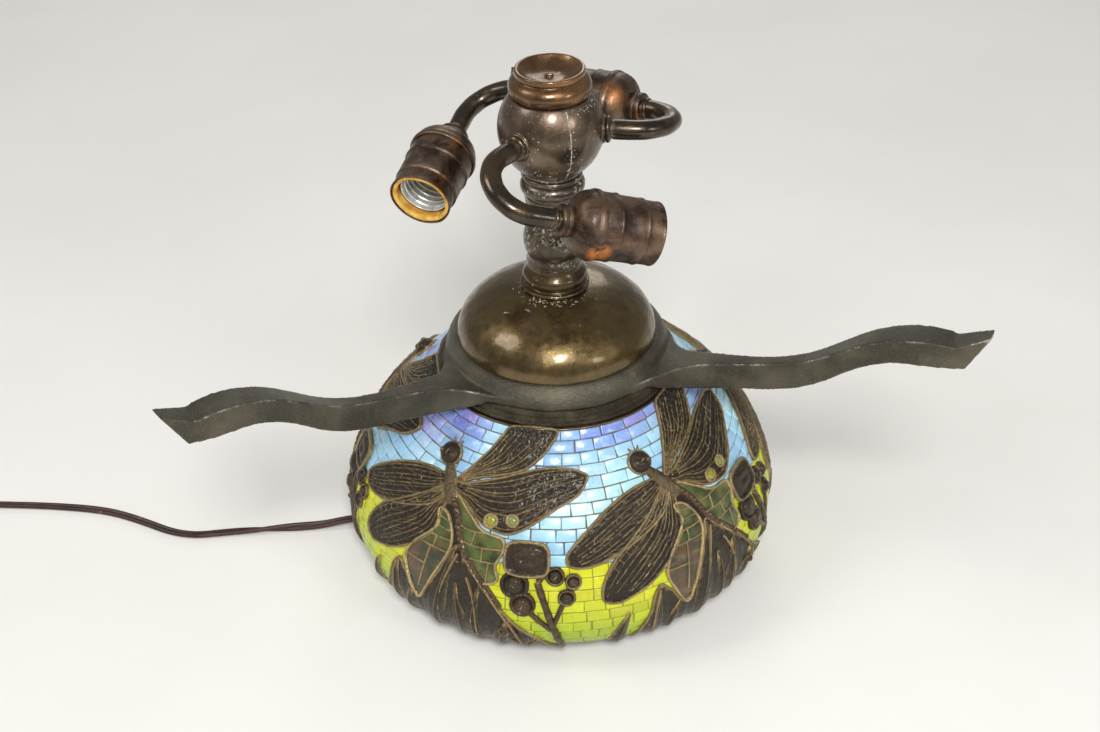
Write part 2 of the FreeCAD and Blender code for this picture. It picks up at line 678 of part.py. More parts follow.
def cord_coil():
    """Outer shape of the coiled length."""
    low = 0.1
    high = low + 2 * COIL_HALF
    soft = 4.0
    coil = lathe((COIL_R - COIL_HALF, low + soft), (COIL_R - COIL_HALF + soft, low), (COIL_R + COIL_HALF - soft, low),
                 (COIL_R + COIL_HALF, low + soft), (COIL_R + COIL_HALF, high - soft), (COIL_R + COIL_HALF - soft, high),
                 (COIL_R - COIL_HALF + soft, high), (COIL_R - COIL_HALF, high - soft))
    return moved(coil, COIL_CENTRE + (0,))


def cord_tail():
    return round_cord(TAIL_ROUTE, CORD_R, "cord tail")


def at_tail(shape):
    """Move a shape made along +X so that it starts at the tail's end and follows it."""
    end = V(*TAIL_ROUTE[-1])
    along = end - V(*TAIL_ROUTE[-2])
    copy = shape.copy()
    copy.Placement = FreeCAD.Placement(end, FreeCAD.Rotation(V(1, 0, 0), V(along.x, along.y, 0)))
    return copy


def plug_body():
    """Moulded two-pin plug: a grip that widens into a flat face."""
    def section(x, half_width, half_height):
        corners = [V(x, half_width * a, half_height * b) for a, b in ((1, .5), (.7, 1), (-.7, 1), (-1, .5),
                                                                      (-1, -.5), (-.7, -1), (.7, -1), (1, -.5))]
        return Part.makePolygon(corners + corners[:1])
    sections = [section(0, 4, 3.5), section(8, 6, 5), section(14, 8.5, 5.8), section(PLUG_LENGTH, 12, 6.2)]
    return at_tail(Part.makeLoft(sections, True, True))


BLADE_LENGTH = 16.0


def plug_blades():
    blades = [Part.makeBox(BLADE_LENGTH, 1.5, 6.4, V(PLUG_LENGTH, side * 6.35 - 0.75, -3.2)) for side in (1, -1)]
    hole = Part.makeCylinder(1.6, 20, V(PLUG_LENGTH + BLADE_LENGTH - 4, -10, 0), V(0, 1, 0))
    return at_tail(Part.Compound([blade.cut(hole) for blade in blades]))


# ---- files -------------------------------------------------------------------------------------
def save(name, shape):
    """Write one STEP file, after checking that its solids are sound."""
    assert shape.isValid(), name
    assert shape.Solids, name
    solids = shape.Solids
    shape = solids[0] if len(solids) == 1 else Part.Compound(solids)
    shape.exportStep("parts/%s.step" % name)
    print("%-18s %2d solid(s) %9.0f mm3" % (name, len(solids), shape.Volume))


SINGLE_PIECES = [base_plate, felt_pad, base_screws, body_shell, bottom_rim, neck_rim, cord_bushing,
                 shade_support, dome_cover, threaded_pipe, pipe_locknuts, stem_flange, stem_column, stem_collar,
                 cluster_ball, cluster_cap, mains_lead, wire_nuts, cord_run, cord_coil, cord_tail, plug_body,
                 plug_blades]

os.makedirs("parts", exist_ok=True)
for make in SINGLE_PIECES:
    save(make.__name__, make())
place_arms()
mosaic_and_castings()
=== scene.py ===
"""Visual model of the mosaic glass table lamp base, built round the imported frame.

Lengths in the tables are millimetres, as in the CAD source; meshes are in metres. Azimuths are degrees
from +X, and a place on the vessel is (degrees from a dragonfly's thorax, mm up the vessel's side).
"""
import math
import random

import bpy
import numpy as np
from mathutils import Matrix, Vector, noise
from mathutils.geometry import delaunay_2d_cdt


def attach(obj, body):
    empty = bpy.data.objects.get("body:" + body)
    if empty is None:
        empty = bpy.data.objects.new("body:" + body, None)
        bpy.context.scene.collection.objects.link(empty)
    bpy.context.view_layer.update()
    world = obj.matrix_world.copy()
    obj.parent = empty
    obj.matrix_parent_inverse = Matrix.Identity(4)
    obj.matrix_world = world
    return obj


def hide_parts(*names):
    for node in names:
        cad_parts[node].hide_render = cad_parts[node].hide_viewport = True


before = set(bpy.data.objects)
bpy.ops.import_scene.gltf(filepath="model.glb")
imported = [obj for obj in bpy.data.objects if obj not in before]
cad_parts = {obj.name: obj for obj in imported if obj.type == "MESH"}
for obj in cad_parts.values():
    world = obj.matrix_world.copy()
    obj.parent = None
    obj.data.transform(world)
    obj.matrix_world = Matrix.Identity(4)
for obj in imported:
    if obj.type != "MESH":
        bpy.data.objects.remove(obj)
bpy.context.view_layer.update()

MM = 0.001
UP = Vector((0, 0, 1))


# ---- camera and light --------------------------------------------------------------------------
def look(location, ahead, above):
    """Matrix of a camera or light at a place, facing along ahead."""
    back = -Vector(ahead).normalized()
    right = Vector(above).cross(back).normalized()
    turn = Matrix((right, back.cross(right), back)).transposed()
    return Matrix.Translation(location) @ turn.to_4x4()


def add_object(name, data):
    made = bpy.data.objects.new(name, data)
    bpy.context.collection.objects.link(made)
    return made


def add_camera():
    camera = add_object("camera", bpy.data.cameras.new("camera"))
    camera.data.sensor_width = 36.0
    camera.data.lens = 47.4
    ahead, above = (-0.00513, 0.80759, -0.58973), (0.02676, 0.58963, 0.80723)
    camera.matrix_world = look((0, -0.7118, 0.6431), ahead, above)
    bpy.context.scene.camera = camera
    bpy.context.scene.view_settings.view_transform = "Standard"


def add_light(name, location, power, size):
    """Round white softbox aimed at the vessel."""
    lamp = bpy.data.lights.new(name, "AREA")
    lamp.shape = "DISK"
    lamp.size = size
    lamp.energy = power
    aim = Vector((0, 0, 0.1)) - Vector(location)
    add_object(name, lamp).matrix_world = look(location, aim, (0, 0.1, 1))


def add_lights():
    """Soft white studio light: a key over the camera, fills at the left and right, one behind."""
    add_light("key", (0.1, -1.5, 1.7), 35, 0.6)
    add_light("left_fill", (-1.7, -0.2, 1.9), 13, 0.9)
    add_light("right_fill", (1.7, -1.5, 1.3), 9, 0.7)
    add_light("back_fill", (0.3, 2.2, 1.2), 8, 1.2)
    world = bpy.data.worlds.new("studio")
    world.use_nodes = True
    background = world.node_tree.nodes["Background"]
    background.inputs["Color"].default_value = (1.0, 0.99, 0.96, 1)
    background.inputs["Strength"].default_value = 0.25
    bpy.context.scene.world = world


# ---- materials ---------------------------------------------------------------------------------
def rgb(text):
    """Linear colour of a hex code."""
    parts = [int(text[k:k + 2], 16) / 255 for k in (0, 2, 4)]
    return tuple(c / 12.92 if c <= 0.04045 else ((c + 0.055) / 1.055) ** 2.4 for c in parts)


def blend(a, b, t):
    return np.asarray(a) * (1 - t) + np.asarray(b) * t


def within(value, low, high):
    return min(max(value, low), high)


class Graph:
    """A material's node tree, built by calls that take sockets, numbers, linear colours or hex codes."""

    def __init__(self, name):
        self.material = bpy.data.materials.new(name)
        self.material.use_nodes = True
        self.tree = self.material.node_tree
        self.shader = self.tree.nodes["Principled BSDF"]
        self.place = self.node("ShaderNodeTexCoord").outputs["Object"]

    def node(self, kind, inputs=(), **settings):
        made = self.tree.nodes.new(kind)
        for key, value in settings.items():
            setattr(made, key, value)
        for key, value in inputs:
            self.put(made.inputs[key], value)
        return made

    def put(self, socket, value):
        if isinstance(value, bpy.types.NodeSocket):
            self.tree.links.new(value, socket)
        elif socket.type == "RGBA":
            socket.default_value = (rgb(value) if isinstance(value, str) else tuple(value)) + (1.0,)
        else:
            socket.default_value = value

    def math(self, operation, a, b=0.0, clamp=False):
        return self.node("ShaderNodeMath", [(0, a), (1, b)], operation=operation, use_clamp=clamp).outputs[0]

    def times(self, a, b):
        return self.math("MULTIPLY", a, b)

    def vector(self, operation, a, b, output=0):
        return self.node("ShaderNodeVectorMath", [(0, a), (1, b)], operation=operation).outputs[output]

    def noise(self, scale, detail=3.0, rough=0.55, place=None, distortion=0.0):
        """Noise whose grains are about 1/scale of a metre."""
        inputs = [("Vector", place or self.place), ("Scale", scale), ("Detail", detail), ("Roughness", rough),
                  ("Distortion", distortion)]
        return self.node("ShaderNodeTexNoise", inputs).outputs["Fac"]

    def step(self, value, low, high, to_low=0.0, to_high=1.0):
        """Smooth step from to_low to to_high as value goes from low to high."""
        inputs = [("Value", value), ("From Min", low), ("From Max", high), ("To Min", to_low),
                  ("To Max", to_high)]
        return self.node("ShaderNodeMapRange", inputs, interpolation_type="SMOOTHSTEP").outputs["Result"]

    def mix(self, factor, a, b):
        made = self.node("ShaderNodeMix", data_type="RGBA")
        for index, value in ((0, factor), (6, a), (7, b)):
            self.put(made.inputs[index], value)
        return made.outputs[2]

    def over(self, colour, tone, field, low, high, amount=1.0):
        """The colour with a tone laid over it where the field is high."""
        return self.mix(self.step(field, low, high, 0, amount), colour, tone)

    def tint(self):
        """Colour that the mesh carries at its points."""
        return self.node("ShaderNodeAttribute", attribute_name="tint").outputs["Color"]

    def bump(self, height, distance, strength=1.0, below=None):
        inputs = [("Height", height), ("Distance", distance), ("Strength", strength)]
        if below:
            inputs.append(("Normal", below))
        return self.node("ShaderNodeBump", inputs).outputs["Normal"]

    def worn(self, low, high, to_low=0.0, to_high=1.0):
        """Step on how sharply the surface stands out, from its own pointiness."""
        return self.step(self.node("ShaderNodeNewGeometry").outputs["Pointiness"], low, high, to_low, to_high)

    def done(self, **inputs):
        for key, value in inputs.items():
            self.put(self.shader.inputs[key.replace("_", " ")], value)
        return self.material


# ---- meshes ------------------------------------------------------------------------------------
def add_mesh(name, points, faces, material, colours=None, **more):
    """Piece of one mesh, in metres in the row frame."""
    mesh = bpy.data.meshes.new(name)
    mesh.from_pydata([tuple(p) for p in points], [], [tuple(int(i) for i in f) for f in faces])
    mesh.validate()
    if colours is not None:
        layer = mesh.color_attributes.new("tint", "FLOAT_COLOR", "POINT")
        layer.data.foreach_set("color", np.hstack([colours, np.ones((len(colours), 1))]).ravel())
    return add_piece(name, mesh, material, **more)


def add_piece(name, mesh, material, body="lamp", slot=None, replaces=(), sharp=40):
    """Visible piece riding on a body."""
    made = add_object(name, mesh)
    mesh.materials.clear()
    mesh.materials.append(material)
    mesh.shade_smooth()
    if sharp < 180:
        mesh.set_sharp_from_angle(angle=math.radians(sharp))
    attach(made, body)
    if replaces:
        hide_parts(*replaces)
    return made


class Parts:
    """Points and faces of several shapes gathered into one mesh."""

    def __init__(self):
        self.points = []
        self.faces = []
        self.tints = []
        self.count = 0

    def add(self, points, faces, tint=None):
        points = np.asarray(points, float)
        self.points.append(points)
        self.faces += [tuple(int(i) + self.count for i in f) for f in faces]
        self.count += len(points)
        if tint is not None:
            self.tints.append(np.broadcast_to(np.asarray(tint, float), (len(points), 3)))
        return self

    def make(self, name, material, **more):
        colours = np.vstack(self.tints) if self.tints else None
        return add_mesh(name, np.vstack(self.points), self.faces, material, colours=colours, **more)


def ring_faces(rows, columns, closed=False, flip=False):
    """Quads between rows of points, each row a closed ring; closed joins the last row to the first."""
    faces = []
    for i in range(rows if closed else rows - 1):
        low, high = i * columns, (i + 1) % rows * columns
        for j in range(columns):
            k = (j + 1) % columns
            quad = (low + j, low + k, high + k, high + j)
            faces.append((quad[0], quad[3], quad[2], quad[1]) if flip else quad)
    return faces


def end_faces(rows, columns, flip=False):
    """Caps of the first and last rings."""
    first, last = range(columns), range((rows - 1) * columns, rows * columns)
    return [tuple(first), tuple(reversed(last))] if flip else [tuple(reversed(first)), tuple(last)]


def arc(here, mid, end, fine):
    """Points after here along the arc that passes by way of mid to end."""
    a, b = mid - here, end - here
    cross = 2 * (a[0] * b[1] - a[1] * b[0])
    centre = here + np.array([b[1] * a.dot(a) - a[1] * b.dot(b), a[0] * b.dot(b) - b[0] * a.dot(a)]) / cross
    angles = [math.atan2(*(p - centre)[::-1]) for p in (here, mid, end)]
    turn = (angles[2] - angles[0]) % math.tau
    if (angles[1] - angles[0]) % math.tau > turn:
        turn -= math.tau
    radius = np.hypot(*(here - centre))
    count = max(4, int(abs(turn) * radius / fine))
    for k in range(1, count + 1):
        angle = angles[0] + turn * k / count
        yield tuple(centre + radius * np.array([math.cos(angle), math.sin(angle)]))


def profile(steps, fine=0.9):
    """Points along an outline of (r, z) steps: a point is a line, a pair is an arc by way of the first."""
    points = [steps[0]]
    for step in steps[1:]:
        if isinstance(step[0], tuple):
            points += arc(np.array(points[-1]), np.array(step[0]), np.array(step[1]), fine)
        else:
            points.append(step)
    return points


def softened(points, radius=0.25):
    """The outline with its corners eased, so that edges catch the light."""
    result = []
    for k, here in enumerate(points):
        here = np.array(here)
        before, after = np.array(points[k - 1]) - here, np.array(points[(k + 1) % len(points)]) - here
        lengths = np.hypot(*before), np.hypot(*after)
        cosine = before.dot(after) / (lengths[0] * lengths[1] + 1e-12)
        cut = min(radius, 0.4 * min(lengths))
        if cosine < -0.94 or here[0] < 0.01:
            result.append(tuple(here))
        else:
            a, b = here + before / lengths[0] * cut, here + after / lengths[1] * cut
            result += [tuple(a), tuple((a + b + 2 * here) / 4), tuple(b)]
    return result


def lathe(steps, segments=96, place=None, wobble=0.0, seed=0.0, ease=0.25, fine=0.9):
    """Points and faces of a closed outline of (r, z) turned about Z, then put in place."""
    outline = softened(profile(list(steps), fine), ease)
    points = []
    for r, z in outline:
        for angle in np.arange(segments) * math.tau / segments:
            c, s = math.cos(angle), math.sin(angle)
            shift = 0
            if wobble and r > 0.5:
                shift = wobble * noise.noise((r * c * 0.12 + seed, r * s * 0.12, z * 0.12))
            points.append(((r + shift) * c, (r + shift) * s, z))
    points = np.array(points) * MM
    faces = ring_faces(len(outline), segments, closed=True)
    return (points if place is None else moved(points, place)), faces


def moved(points, matrix):
    turn = np.array(matrix)
    return np.asarray(points) @ turn[:3, :3].T + turn[:3, 3]


def sweep(path, ups, shape, closed=False):
    """Points and faces of a closed profile carried along a path. shape(k) gives its (side, up) points."""
    path, ups = np.asarray(path, float), np.asarray(ups, float)
    count = len(path)
    points = []
    for k in range(count):
        after = path[(k + 1) % count] if closed else path[min(k + 1, count - 1)]
        before = path[k - 1] if closed else path[max(k - 1, 0)]
        along = after - before
        along /= np.linalg.norm(along) + 1e-12
        side = np.cross(along, ups[k])
        side /= np.linalg.norm(side) + 1e-12
        section = np.asarray(shape(k), float)
        points.append(path[k] + section[:, :1] * side + section[:, 1:] * np.cross(side, along))
    width = len(points[0])
    faces = ring_faces(count, width, closed, flip=True)
    return np.vstack(points), faces if closed else faces + end_faces(count, width, flip=True)


def half_round(width, height):
    """Section of a strip lying on a surface, with its foot sunk into it."""
    bead = [(width / 2 * math.cos(a), height * math.sin(a)) for a in np.linspace(0, math.pi, 7)]
    return np.array([(width / 2, -0.6)] + bead + [(-width / 2, -0.6)]) * MM


def smooth_line(stops, step=1.0, closed=False):
    """Points every step mm along a smooth line by way of the stops."""
    stops = np.asarray(stops, float)
    count = len(stops)
    result = []
    for k in range(count if closed else count - 1):
        near = [(k + j) % count if closed else within(k + j, 0, count - 1) for j in (-1, 0, 1, 2)]
        a, b, c, d = stops[near]
        pieces = max(1, int(round(np.linalg.norm(c - b) / step)))
        for t in np.arange(pieces) / pieces:
            result.append(0.5 * (2 * b + (c - a) * t + (2 * a - 5 * b + 4 * c - d) * t ** 2
                                 + (3 * b - a - 3 * c + d) * t ** 3))
    return np.array(result if closed else result + [stops[-1]])


# ---- mains cord --------------------------------------------------------------------------------
CORD_WIDTH = 5.5
CORD_THICK = 2.9
CORD_EXIT = (-126.0, -3.0, 7.5)
LAID = 1.7              # height of the cord's middle where it lies flat
CORD_ROUTE = [CORD_EXIT, (-141, -3.9, 6.6), (-157, -5.2, 3.2), (-185, -6.6, 2.8), (-216, -8.2, 2.2),
              (-247, -11.2, LAID), (-282, 7.5, LAID), (-306, 17.0, LAID), (-341, 22.4, LAID),
              (-380, 25.5, LAID), (-417, 27.2, 2.4)]
TAIL_ROUTE = [(-451, -42, 19.3), (-441, -49, 17.5), (-430.5, -55, 11), (-419.5, -59.5, 7.2),
              (-408.5, -62, 6.5)]
COIL_CENTRE = (-429.0, -12.0)
COIL_RADIUS = 31.0
COIL_FROM, COIL_TO = 88.0, 7 * 360 + 216.0
COIL_POINTS = 14        # to a turn
LAYER = 5.55            # the coil's turns lie this far apart both ways
COIL_LEAN = math.radians(33)
# the slot of each turn in the coil's section: across, up
COIL_SLOTS = [(1, 0), (0, 0), (-1, 0), (-1, 1), (0, 1), (1, 1), (0.6, 2), (-0.2, 2), (0.9, 2.6)]


def coil_points():
    """Control points of the coil: each turn in its own slot, moving over to the next as it closes."""
    rng = random.Random(4)
    points = []
    count = int((COIL_TO - COIL_FROM) / 360 * COIL_POINTS)
    for k in range(count + 1):
        angle = COIL_FROM + (COIL_TO - COIL_FROM) * k / count
        turns = (angle - COIL_FROM) / 360
        turn = int(turns)
        shift = within((turns - turn - 0.72) / 0.28, 0.0, 1.0)
        (a, b), (c, d) = COIL_SLOTS[turn], COIL_SLOTS[turn + 1]
        radius = COIL_RADIUS + (a + (c - a) * shift) * LAYER + rng.uniform(-0.25, 0.25)
        points.append((COIL_CENTRE[0] + radius * math.cos(math.radians(angle)),
                       COIL_CENTRE[1] + radius * math.sin(math.radians(angle)),
                       2.85 + (b + (d - b) * shift) * LAYER))
    return points


def cord_line(points):
    """Points of the smooth NURBS line that has the route as its control points."""
    curve = bpy.data.curves.new("cord_line", "CURVE")
    curve.dimensions = "3D"
    spline = curve.splines.new("NURBS")
    spline.points.add(len(points) - 1)
    for point, place in zip(spline.points, points):
        point.co = [c * MM for c in place] + [1.0]
    spline.order_u = 3
    spline.use_endpoint_u = True
    spline.resolution_u = 7
    holder = bpy.data.objects.new("cord_line", curve)
    mesh = bpy.data.meshes.new_from_object(holder)
    line = np.array([v.co[:] for v in mesh.vertices])
    bpy.data.objects.remove(holder)
    bpy.data.meshes.remove(mesh)
    bpy.data.curves.remove(curve)
    return line


def twin_section(angle):
    """Outline of flat two-core cord, a groove along each face, turned by an angle."""
    points = []
    half, full = CORD_WIDTH / 2, CORD_THICK / 2
    for a in np.linspace(0, math.tau, 28, endpoint=False):
        x = half * math.cos(a)
        y = math.sqrt(max(0.0, full ** 2 - (abs(x) - (half - full)) ** 2)) * (1 if math.sin(a) >= 0 else -1)
        points.append((x, y * (1 - 0.34 * math.exp(-(x / 0.55) ** 2))))
    turn = np.array([[math.cos(angle), math.sin(angle)], [-math.sin(angle), math.cos(angle)]])
    return np.array(points) * MM @ turn


def travelled(line):
    """Distance gone at each point of a line."""
    return np.concatenate([[0], np.cumsum(np.linalg.norm(np.diff(line, axis=0), axis=1))])


def add_cord():
    line = cord_line(CORD_ROUTE + coil_points() + TAIL_ROUTE)
    gone = travelled(line) / MM
    coil_start, coil_end = 292.0, gone[-1] - 60
    flip = np.clip((gone - 22) / 70, 0, 1)
    lean = np.clip((gone - coil_start) / 40, 0, 1) * np.clip((coil_end - gone) / 30, 0, 1)
    turn = math.pi * flip ** 2 * (3 - 2 * flip) + COIL_LEAN * lean + 0.12 * np.sin(gone / 23)
    points, faces = sweep(line, np.tile((0.0, 0.0, 1.0), (len(line), 1)), lambda k: twin_section(turn[k]))
    cord = add_mesh("cord", points, faces, cord_material(), slot="cord_brown",
                    replaces=("cord_run", "cord_coil", "cord_tail"), sharp=180)
    add_plug()
    add_strain_relief()


def cord_material():
    g = Graph("cord_brown")
    broad = g.noise(60, 3)
    colour = g.over("2a1712", "46291f", broad, 0.35, 0.7)
    colour = g.over(colour, "8a7464", g.noise(260, 4), 0.62, 0.78, 0.5)
    return g.done(Base_Color=colour, Roughness=g.step(broad, 0.3, 0.7, 0.34, 0.5), IOR=1.5,
                  Normal=g.bump(g.noise(1500, 2), 0.00006, 0.6), Coat_Weight=0.12, Coat_Roughness=0.3)


def plug_frame():
    end = Vector(TAIL_ROUTE[-1])
    along = end - Vector(TAIL_ROUTE[-2])
    along.z = 0
    along.normalize()
    return Matrix.Translation(end * MM) @ Matrix((along, UP.cross(along), UP)).transposed().to_4x4()


# the plug's sections: distance along it, half its width, half its height
PLUG_SECTIONS = [(0, 3.6, 3.1), (1.2, 4.0, 3.5), (5, 4.9, 4.2), (8.4, 6.0, 5.0), (11, 7.1, 5.4),
                 (12.2, 7.4, 5.1), (13.2, 8.4, 5.7), (17, 9.5, 5.6), (21, 10.6, 5.8), (25.6, 11.8, 6.1),
                 (26.6, 11.7, 6.0), (27, 11.2, 5.5)]


def squarish(angle, power):
    """Point of a rounded square of half width 1."""
    return [math.copysign(abs(c) ** power, c) for c in (math.cos(angle), math.sin(angle))]


def add_plug():
    """Moulded plug: a grip with a waist that widens into a flat face."""
    points = []
    for x, half_width, half_height in PLUG_SECTIONS:
        waist = 0.96 if 6 < x < 12.5 else 1.0
        for a in np.linspace(0, math.tau, 40, endpoint=False):
            y, z = squarish(a, 0.55)
            points.append((x, half_width * y, half_height * z * waist))
    count = len(PLUG_SECTIONS)
    g = Graph("plug_brown")
    g.done(Base_Color=g.over("1d110d", "3a231a", g.noise(90, 3), 0.35, 0.65),
           Roughness=g.step(g.noise(400, 2), 0.3, 0.7, 0.3, 0.45), Normal=g.bump(g.noise(1400, 2), 0.00005))
    return add_mesh("plug_body_detailed", moved(np.array(points) * MM, plug_frame()),
                    ring_faces(count, 40) + end_faces(count, 40), g.material, slot="plug_brown",
                    replaces=("plug_body",), sharp=35)


def add_strain_relief():
    """Rubber bushing whose tail tapers down to the cord, with rings that let it bend."""
    outline = [(2.95, 96), (5.1, 96), (5.1, 115.5), (6.6, 115.5), (6.6, 117.3), (5.0, 117.8), (4.8, 119.2),
               (4.2, 119.5), (4.2, 120.3), (4.55, 120.6), (4.4, 121.8), (3.9, 122.1), (3.9, 122.9),
               (4.2, 123.2), (4.0, 124.2), (3.6, 124.5), (3.5, 125.9), (2.95, 126)]
    turn = Matrix.Rotation(math.radians(-90), 4, "Y")
    out = Matrix.Translation((0, CORD_EXIT[1] * MM, CORD_EXIT[2] * MM)) @ turn
    g = Graph("black_rubber")
    g.done(Base_Color=g.over("16120f", "3a312a", g.noise(300, 4), 0.45, 0.7), Roughness=0.62,
           Normal=g.bump(g.noise(1800, 3), 0.00006))
    return add_mesh("strain_relief", *lathe(outline, 64, out, ease=0.2), g.material, slot="black_rubber",
                    replaces=("cord_bushing",), sharp=45)


# ---- vessel surface ----------------------------------------------------------------------------
BODY_POINTS = [(1.2, 98), (6, 111), (19, 129), (38, 133), (57, 129.5), (76, 121.5), (96, 108), (115, 88),
               (134, 69)]
RIM_TOP = 9.0
LIME_TOP = 73.0
GLASS_TOP = 131.5
SECTORS = 5
SECTOR = 360.0 / SECTORS
FIRST_AZIMUTH = -127.6
AZIMUTHS = [FIRST_AZIMUTH + SECTOR * k for k in range(SECTORS)]


def meridian():
    """Distances up the vessel's side (mm), with r, z and the outward normal at each."""
    stops = np.array([(r, z) for z, r in BODY_POINTS], float)
    t = travelled(stops)
    gaps = np.diff(t)
    count = len(t)
    system, right = np.eye(count), np.zeros((count, 2))
    for k in range(1, count - 1):
        system[k, k - 1:k + 2] = gaps[k - 1], 2 * (gaps[k - 1] + gaps[k]), gaps[k]
        right[k] = 6 * ((stops[k + 1] - stops[k]) / gaps[k] - (stops[k] - stops[k - 1]) / gaps[k - 1])
    bend = np.linalg.solve(system, right)
    fine = np.linspace(0, t[-1], 1600)
    k = np.clip(np.searchsorted(t, fine) - 1, 0, count - 2)
    a, b, h = (t[k + 1] - fine)[:, None], (fine - t[k])[:, None], gaps[k][:, None]
    line = ((bend[k] * a ** 3 + bend[k + 1] * b ** 3) / (6 * h) + (stops[k] / h - bend[k] * h / 6) * a
            + (stops[k + 1] / h - bend[k + 1] * h / 6) * b)
    slope = np.gradient(line, axis=0)
    slope /= np.linalg.norm(slope, axis=1)[:, None]
    return travelled(line), line[:, 0], line[:, 1], slope[:, 1], -slope[:, 0]


ALONG, LINE_R, LINE_Z, NORMAL_R, NORMAL_Z = meridian()


def at(along, table):
    return np.interp(along, ALONG, table)


def on_body(azimuth, along, lift=0.0):
    """Points in metres at azimuths (degrees), distances up the side and heights over the glass (mm)."""
    azimuth, along, lift = np.broadcast_arrays(np.radians(azimuth), np.asarray(along, float), lift)
    r = at(along, LINE_R) + lift * at(along, NORMAL_R)
    z = at(along, LINE_Z) + lift * at(along, NORMAL_Z)
    return np.stack([r * np.cos(azimuth), r * np.sin(azimuth), z], axis=-1) * MM


def body_normal(azimuth, along):
    azimuth, out = np.radians(azimuth), at(along, NORMAL_R)
    return np.stack([out * np.cos(azimuth), out * np.sin(azimuth), at(along, NORMAL_Z)], axis=-1)


def height_to_along(z):
    return float(np.interp(z, LINE_Z, ALONG))


def body_frame(azimuth, along, lift=0.0):
    """Matrix whose Z stands out of the vessel at a place, and whose Y points up its side."""
    normal = Vector(body_normal(azimuth, along))
    side = UP.cross(normal).normalized()
    turn = Matrix((side, normal.cross(side), normal)).transposed()
    return Matrix.Translation(Vector(on_body(azimuth, along, lift))) @ turn.to_4x4()


# ---- mosaic ------------------------------------------------------------------------------------
COURSE = 6.9            # about the height of a course of tiles
TILE_WIDTHS = (9.5, 15.5)
JOINT = 0.3             # half the gap between tiles
TILE_EDGE = 0.34
TILE_FOOT = -1.6
RIM_ALONG, LIME_ALONG, TOP_ALONG = map(height_to_along, (RIM_TOP, LIME_TOP, GLASS_TOP))
SKY_DEEP, SKY_MID, SKY_PALE = rgb("6f84dd"), rgb("97c5ee"), rgb("bbecf3")
SKY_WHITE, SKY_VIOLET = rgb("e9f8f9"), rgb("9586d1")
LIME_BRIGHT, LIME_DEEP, LIME_GOLD = rgb("c7d414"), rgb("7e9e13"), rgb("e1db27")
# places with a colour laid over the drifts: azimuth, distance, spread in degrees and mm, colour. The white
# ones at -86 and -110 degrees, where the side faces the camera, are painted highlight; the rest are the
# glass's own colour
SKY_PATCHES = [(-86, 127, 7, 8, SKY_WHITE), (-110, 152, 5, 8, SKY_WHITE), (-52, 171, 10, 9, SKY_VIOLET),
               (-137, 162, 9, 13, SKY_DEEP), (-133, 168, 8, 8, SKY_VIOLET), (-150, 150, 9, 14, SKY_VIOLET),
               (-72, 166, 14, 6, SKY_DEEP), (-14, 150, 9, 16, SKY_DEEP), (-24, 122, 8, 12, SKY_MID),
               (40, 160, 14, 10, SKY_VIOLET), (95, 130, 9, 10, SKY_WHITE), (160, 158, 13, 12, SKY_VIOLET)]


def sky_tint(azimuth, along, rng):
    """Pale to mid blue in drifts, deeper towards the top, with the patches over it; two of the white patches
    are painted highlight.
    """
    a = math.radians(azimuth)
    field = noise.noise((math.cos(a) * 2.6, math.sin(a) * 2.6, along / 34)) * 0.9 + 0.5
    field += rng.uniform(-0.16, 0.16)
    high = within((along - 150) / 26, 0, 1)
    tint = blend(SKY_PALE, SKY_MID, within(field + 0.35 * high, 0, 1))
    tint = blend(tint, SKY_DEEP, within(field + high - 0.95, 0, 0.8))
    for there, up, wide, tall, colour in SKY_PATCHES:
        off = (azimuth - there + 180) % 360 - 180
        weight = math.exp(-(off / wide) ** 2 - ((along - up) / tall) ** 2)
        tint = blend(tint, colour, min(0.8, weight * rng.uniform(0.5, 1.0)))
    return tint * rng.uniform(0.9, 1.06)


def lime_tint(azimuth, along, rng):
    """Yellow-green in drifts, deeper green towards the foot."""
    a = math.radians(azimuth)
    field = noise.noise((math.cos(a) * 3, math.sin(a) * 3, along / 18 + 9)) * 0.8 + 0.5
    field += rng.uniform(-0.2, 0.2)
    low = within((72 - along) / 40, 0, 1)
    tint = blend(LIME_BRIGHT, LIME_GOLD, within(field - low, 0, 0.7))
    tint = blend(tint, LIME_DEEP, within(low * 0.8 + 0.3 * (field - 0.5), 0, 0.95))
    return tint * rng.uniform(0.88, 1.05)


def tile(a0, a1, s0, s1, rng):
    """One piece of glass, a slip with eased edges and slightly cut corners, in (azimuth, along, lift)."""
    wide = math.radians(1) * at((s0 + s1) / 2, LINE_R)
    jitter = [rng.uniform(-0.35, 0.35) for _ in range(8)]
    corners = [(a0 + jitter[0] / wide, s0 + jitter[1] * 0.5), (a1 + jitter[2] / wide, s0 + jitter[3] * 0.5),
               (a1 + jitter[4] / wide, s1 + jitter[5] * 0.5), (a0 + jitter[6] / wide, s1 + jitter[7] * 0.5)]
    middle = np.mean(corners, axis=0)
    tilt = rng.uniform(-0.014, 0.014), rng.uniform(-0.02, 0.02)
    base = rng.uniform(-0.12, 0.1)
    points = []
    rings = [(0, TILE_FOOT, 0.3), (0, -TILE_EDGE, 0.3), (TILE_EDGE * 0.35, -TILE_EDGE * 0.3, 0.35),
             (TILE_EDGE, 0, 0.45)]
    for inset, lift, cut in rings:
        for k, corner in enumerate(corners):
            inward = np.sign(middle - corner)
            x, y = corner[0] + inward[0] * inset / wide, corner[1] + inward[1] * inset
            pair = [(x + inward[0] * cut / wide, y), (x, y + inward[1] * cut)]
            for u, s in pair if k % 2 else pair[::-1]:
                tipped = tilt[0] * (u - middle[0]) * wide
                points.append((u, s, lift + base + tipped + tilt[1] * (s - middle[1])))
    return np.array(points), ring_faces(4, 8) + end_faces(4, 8)[::-1]


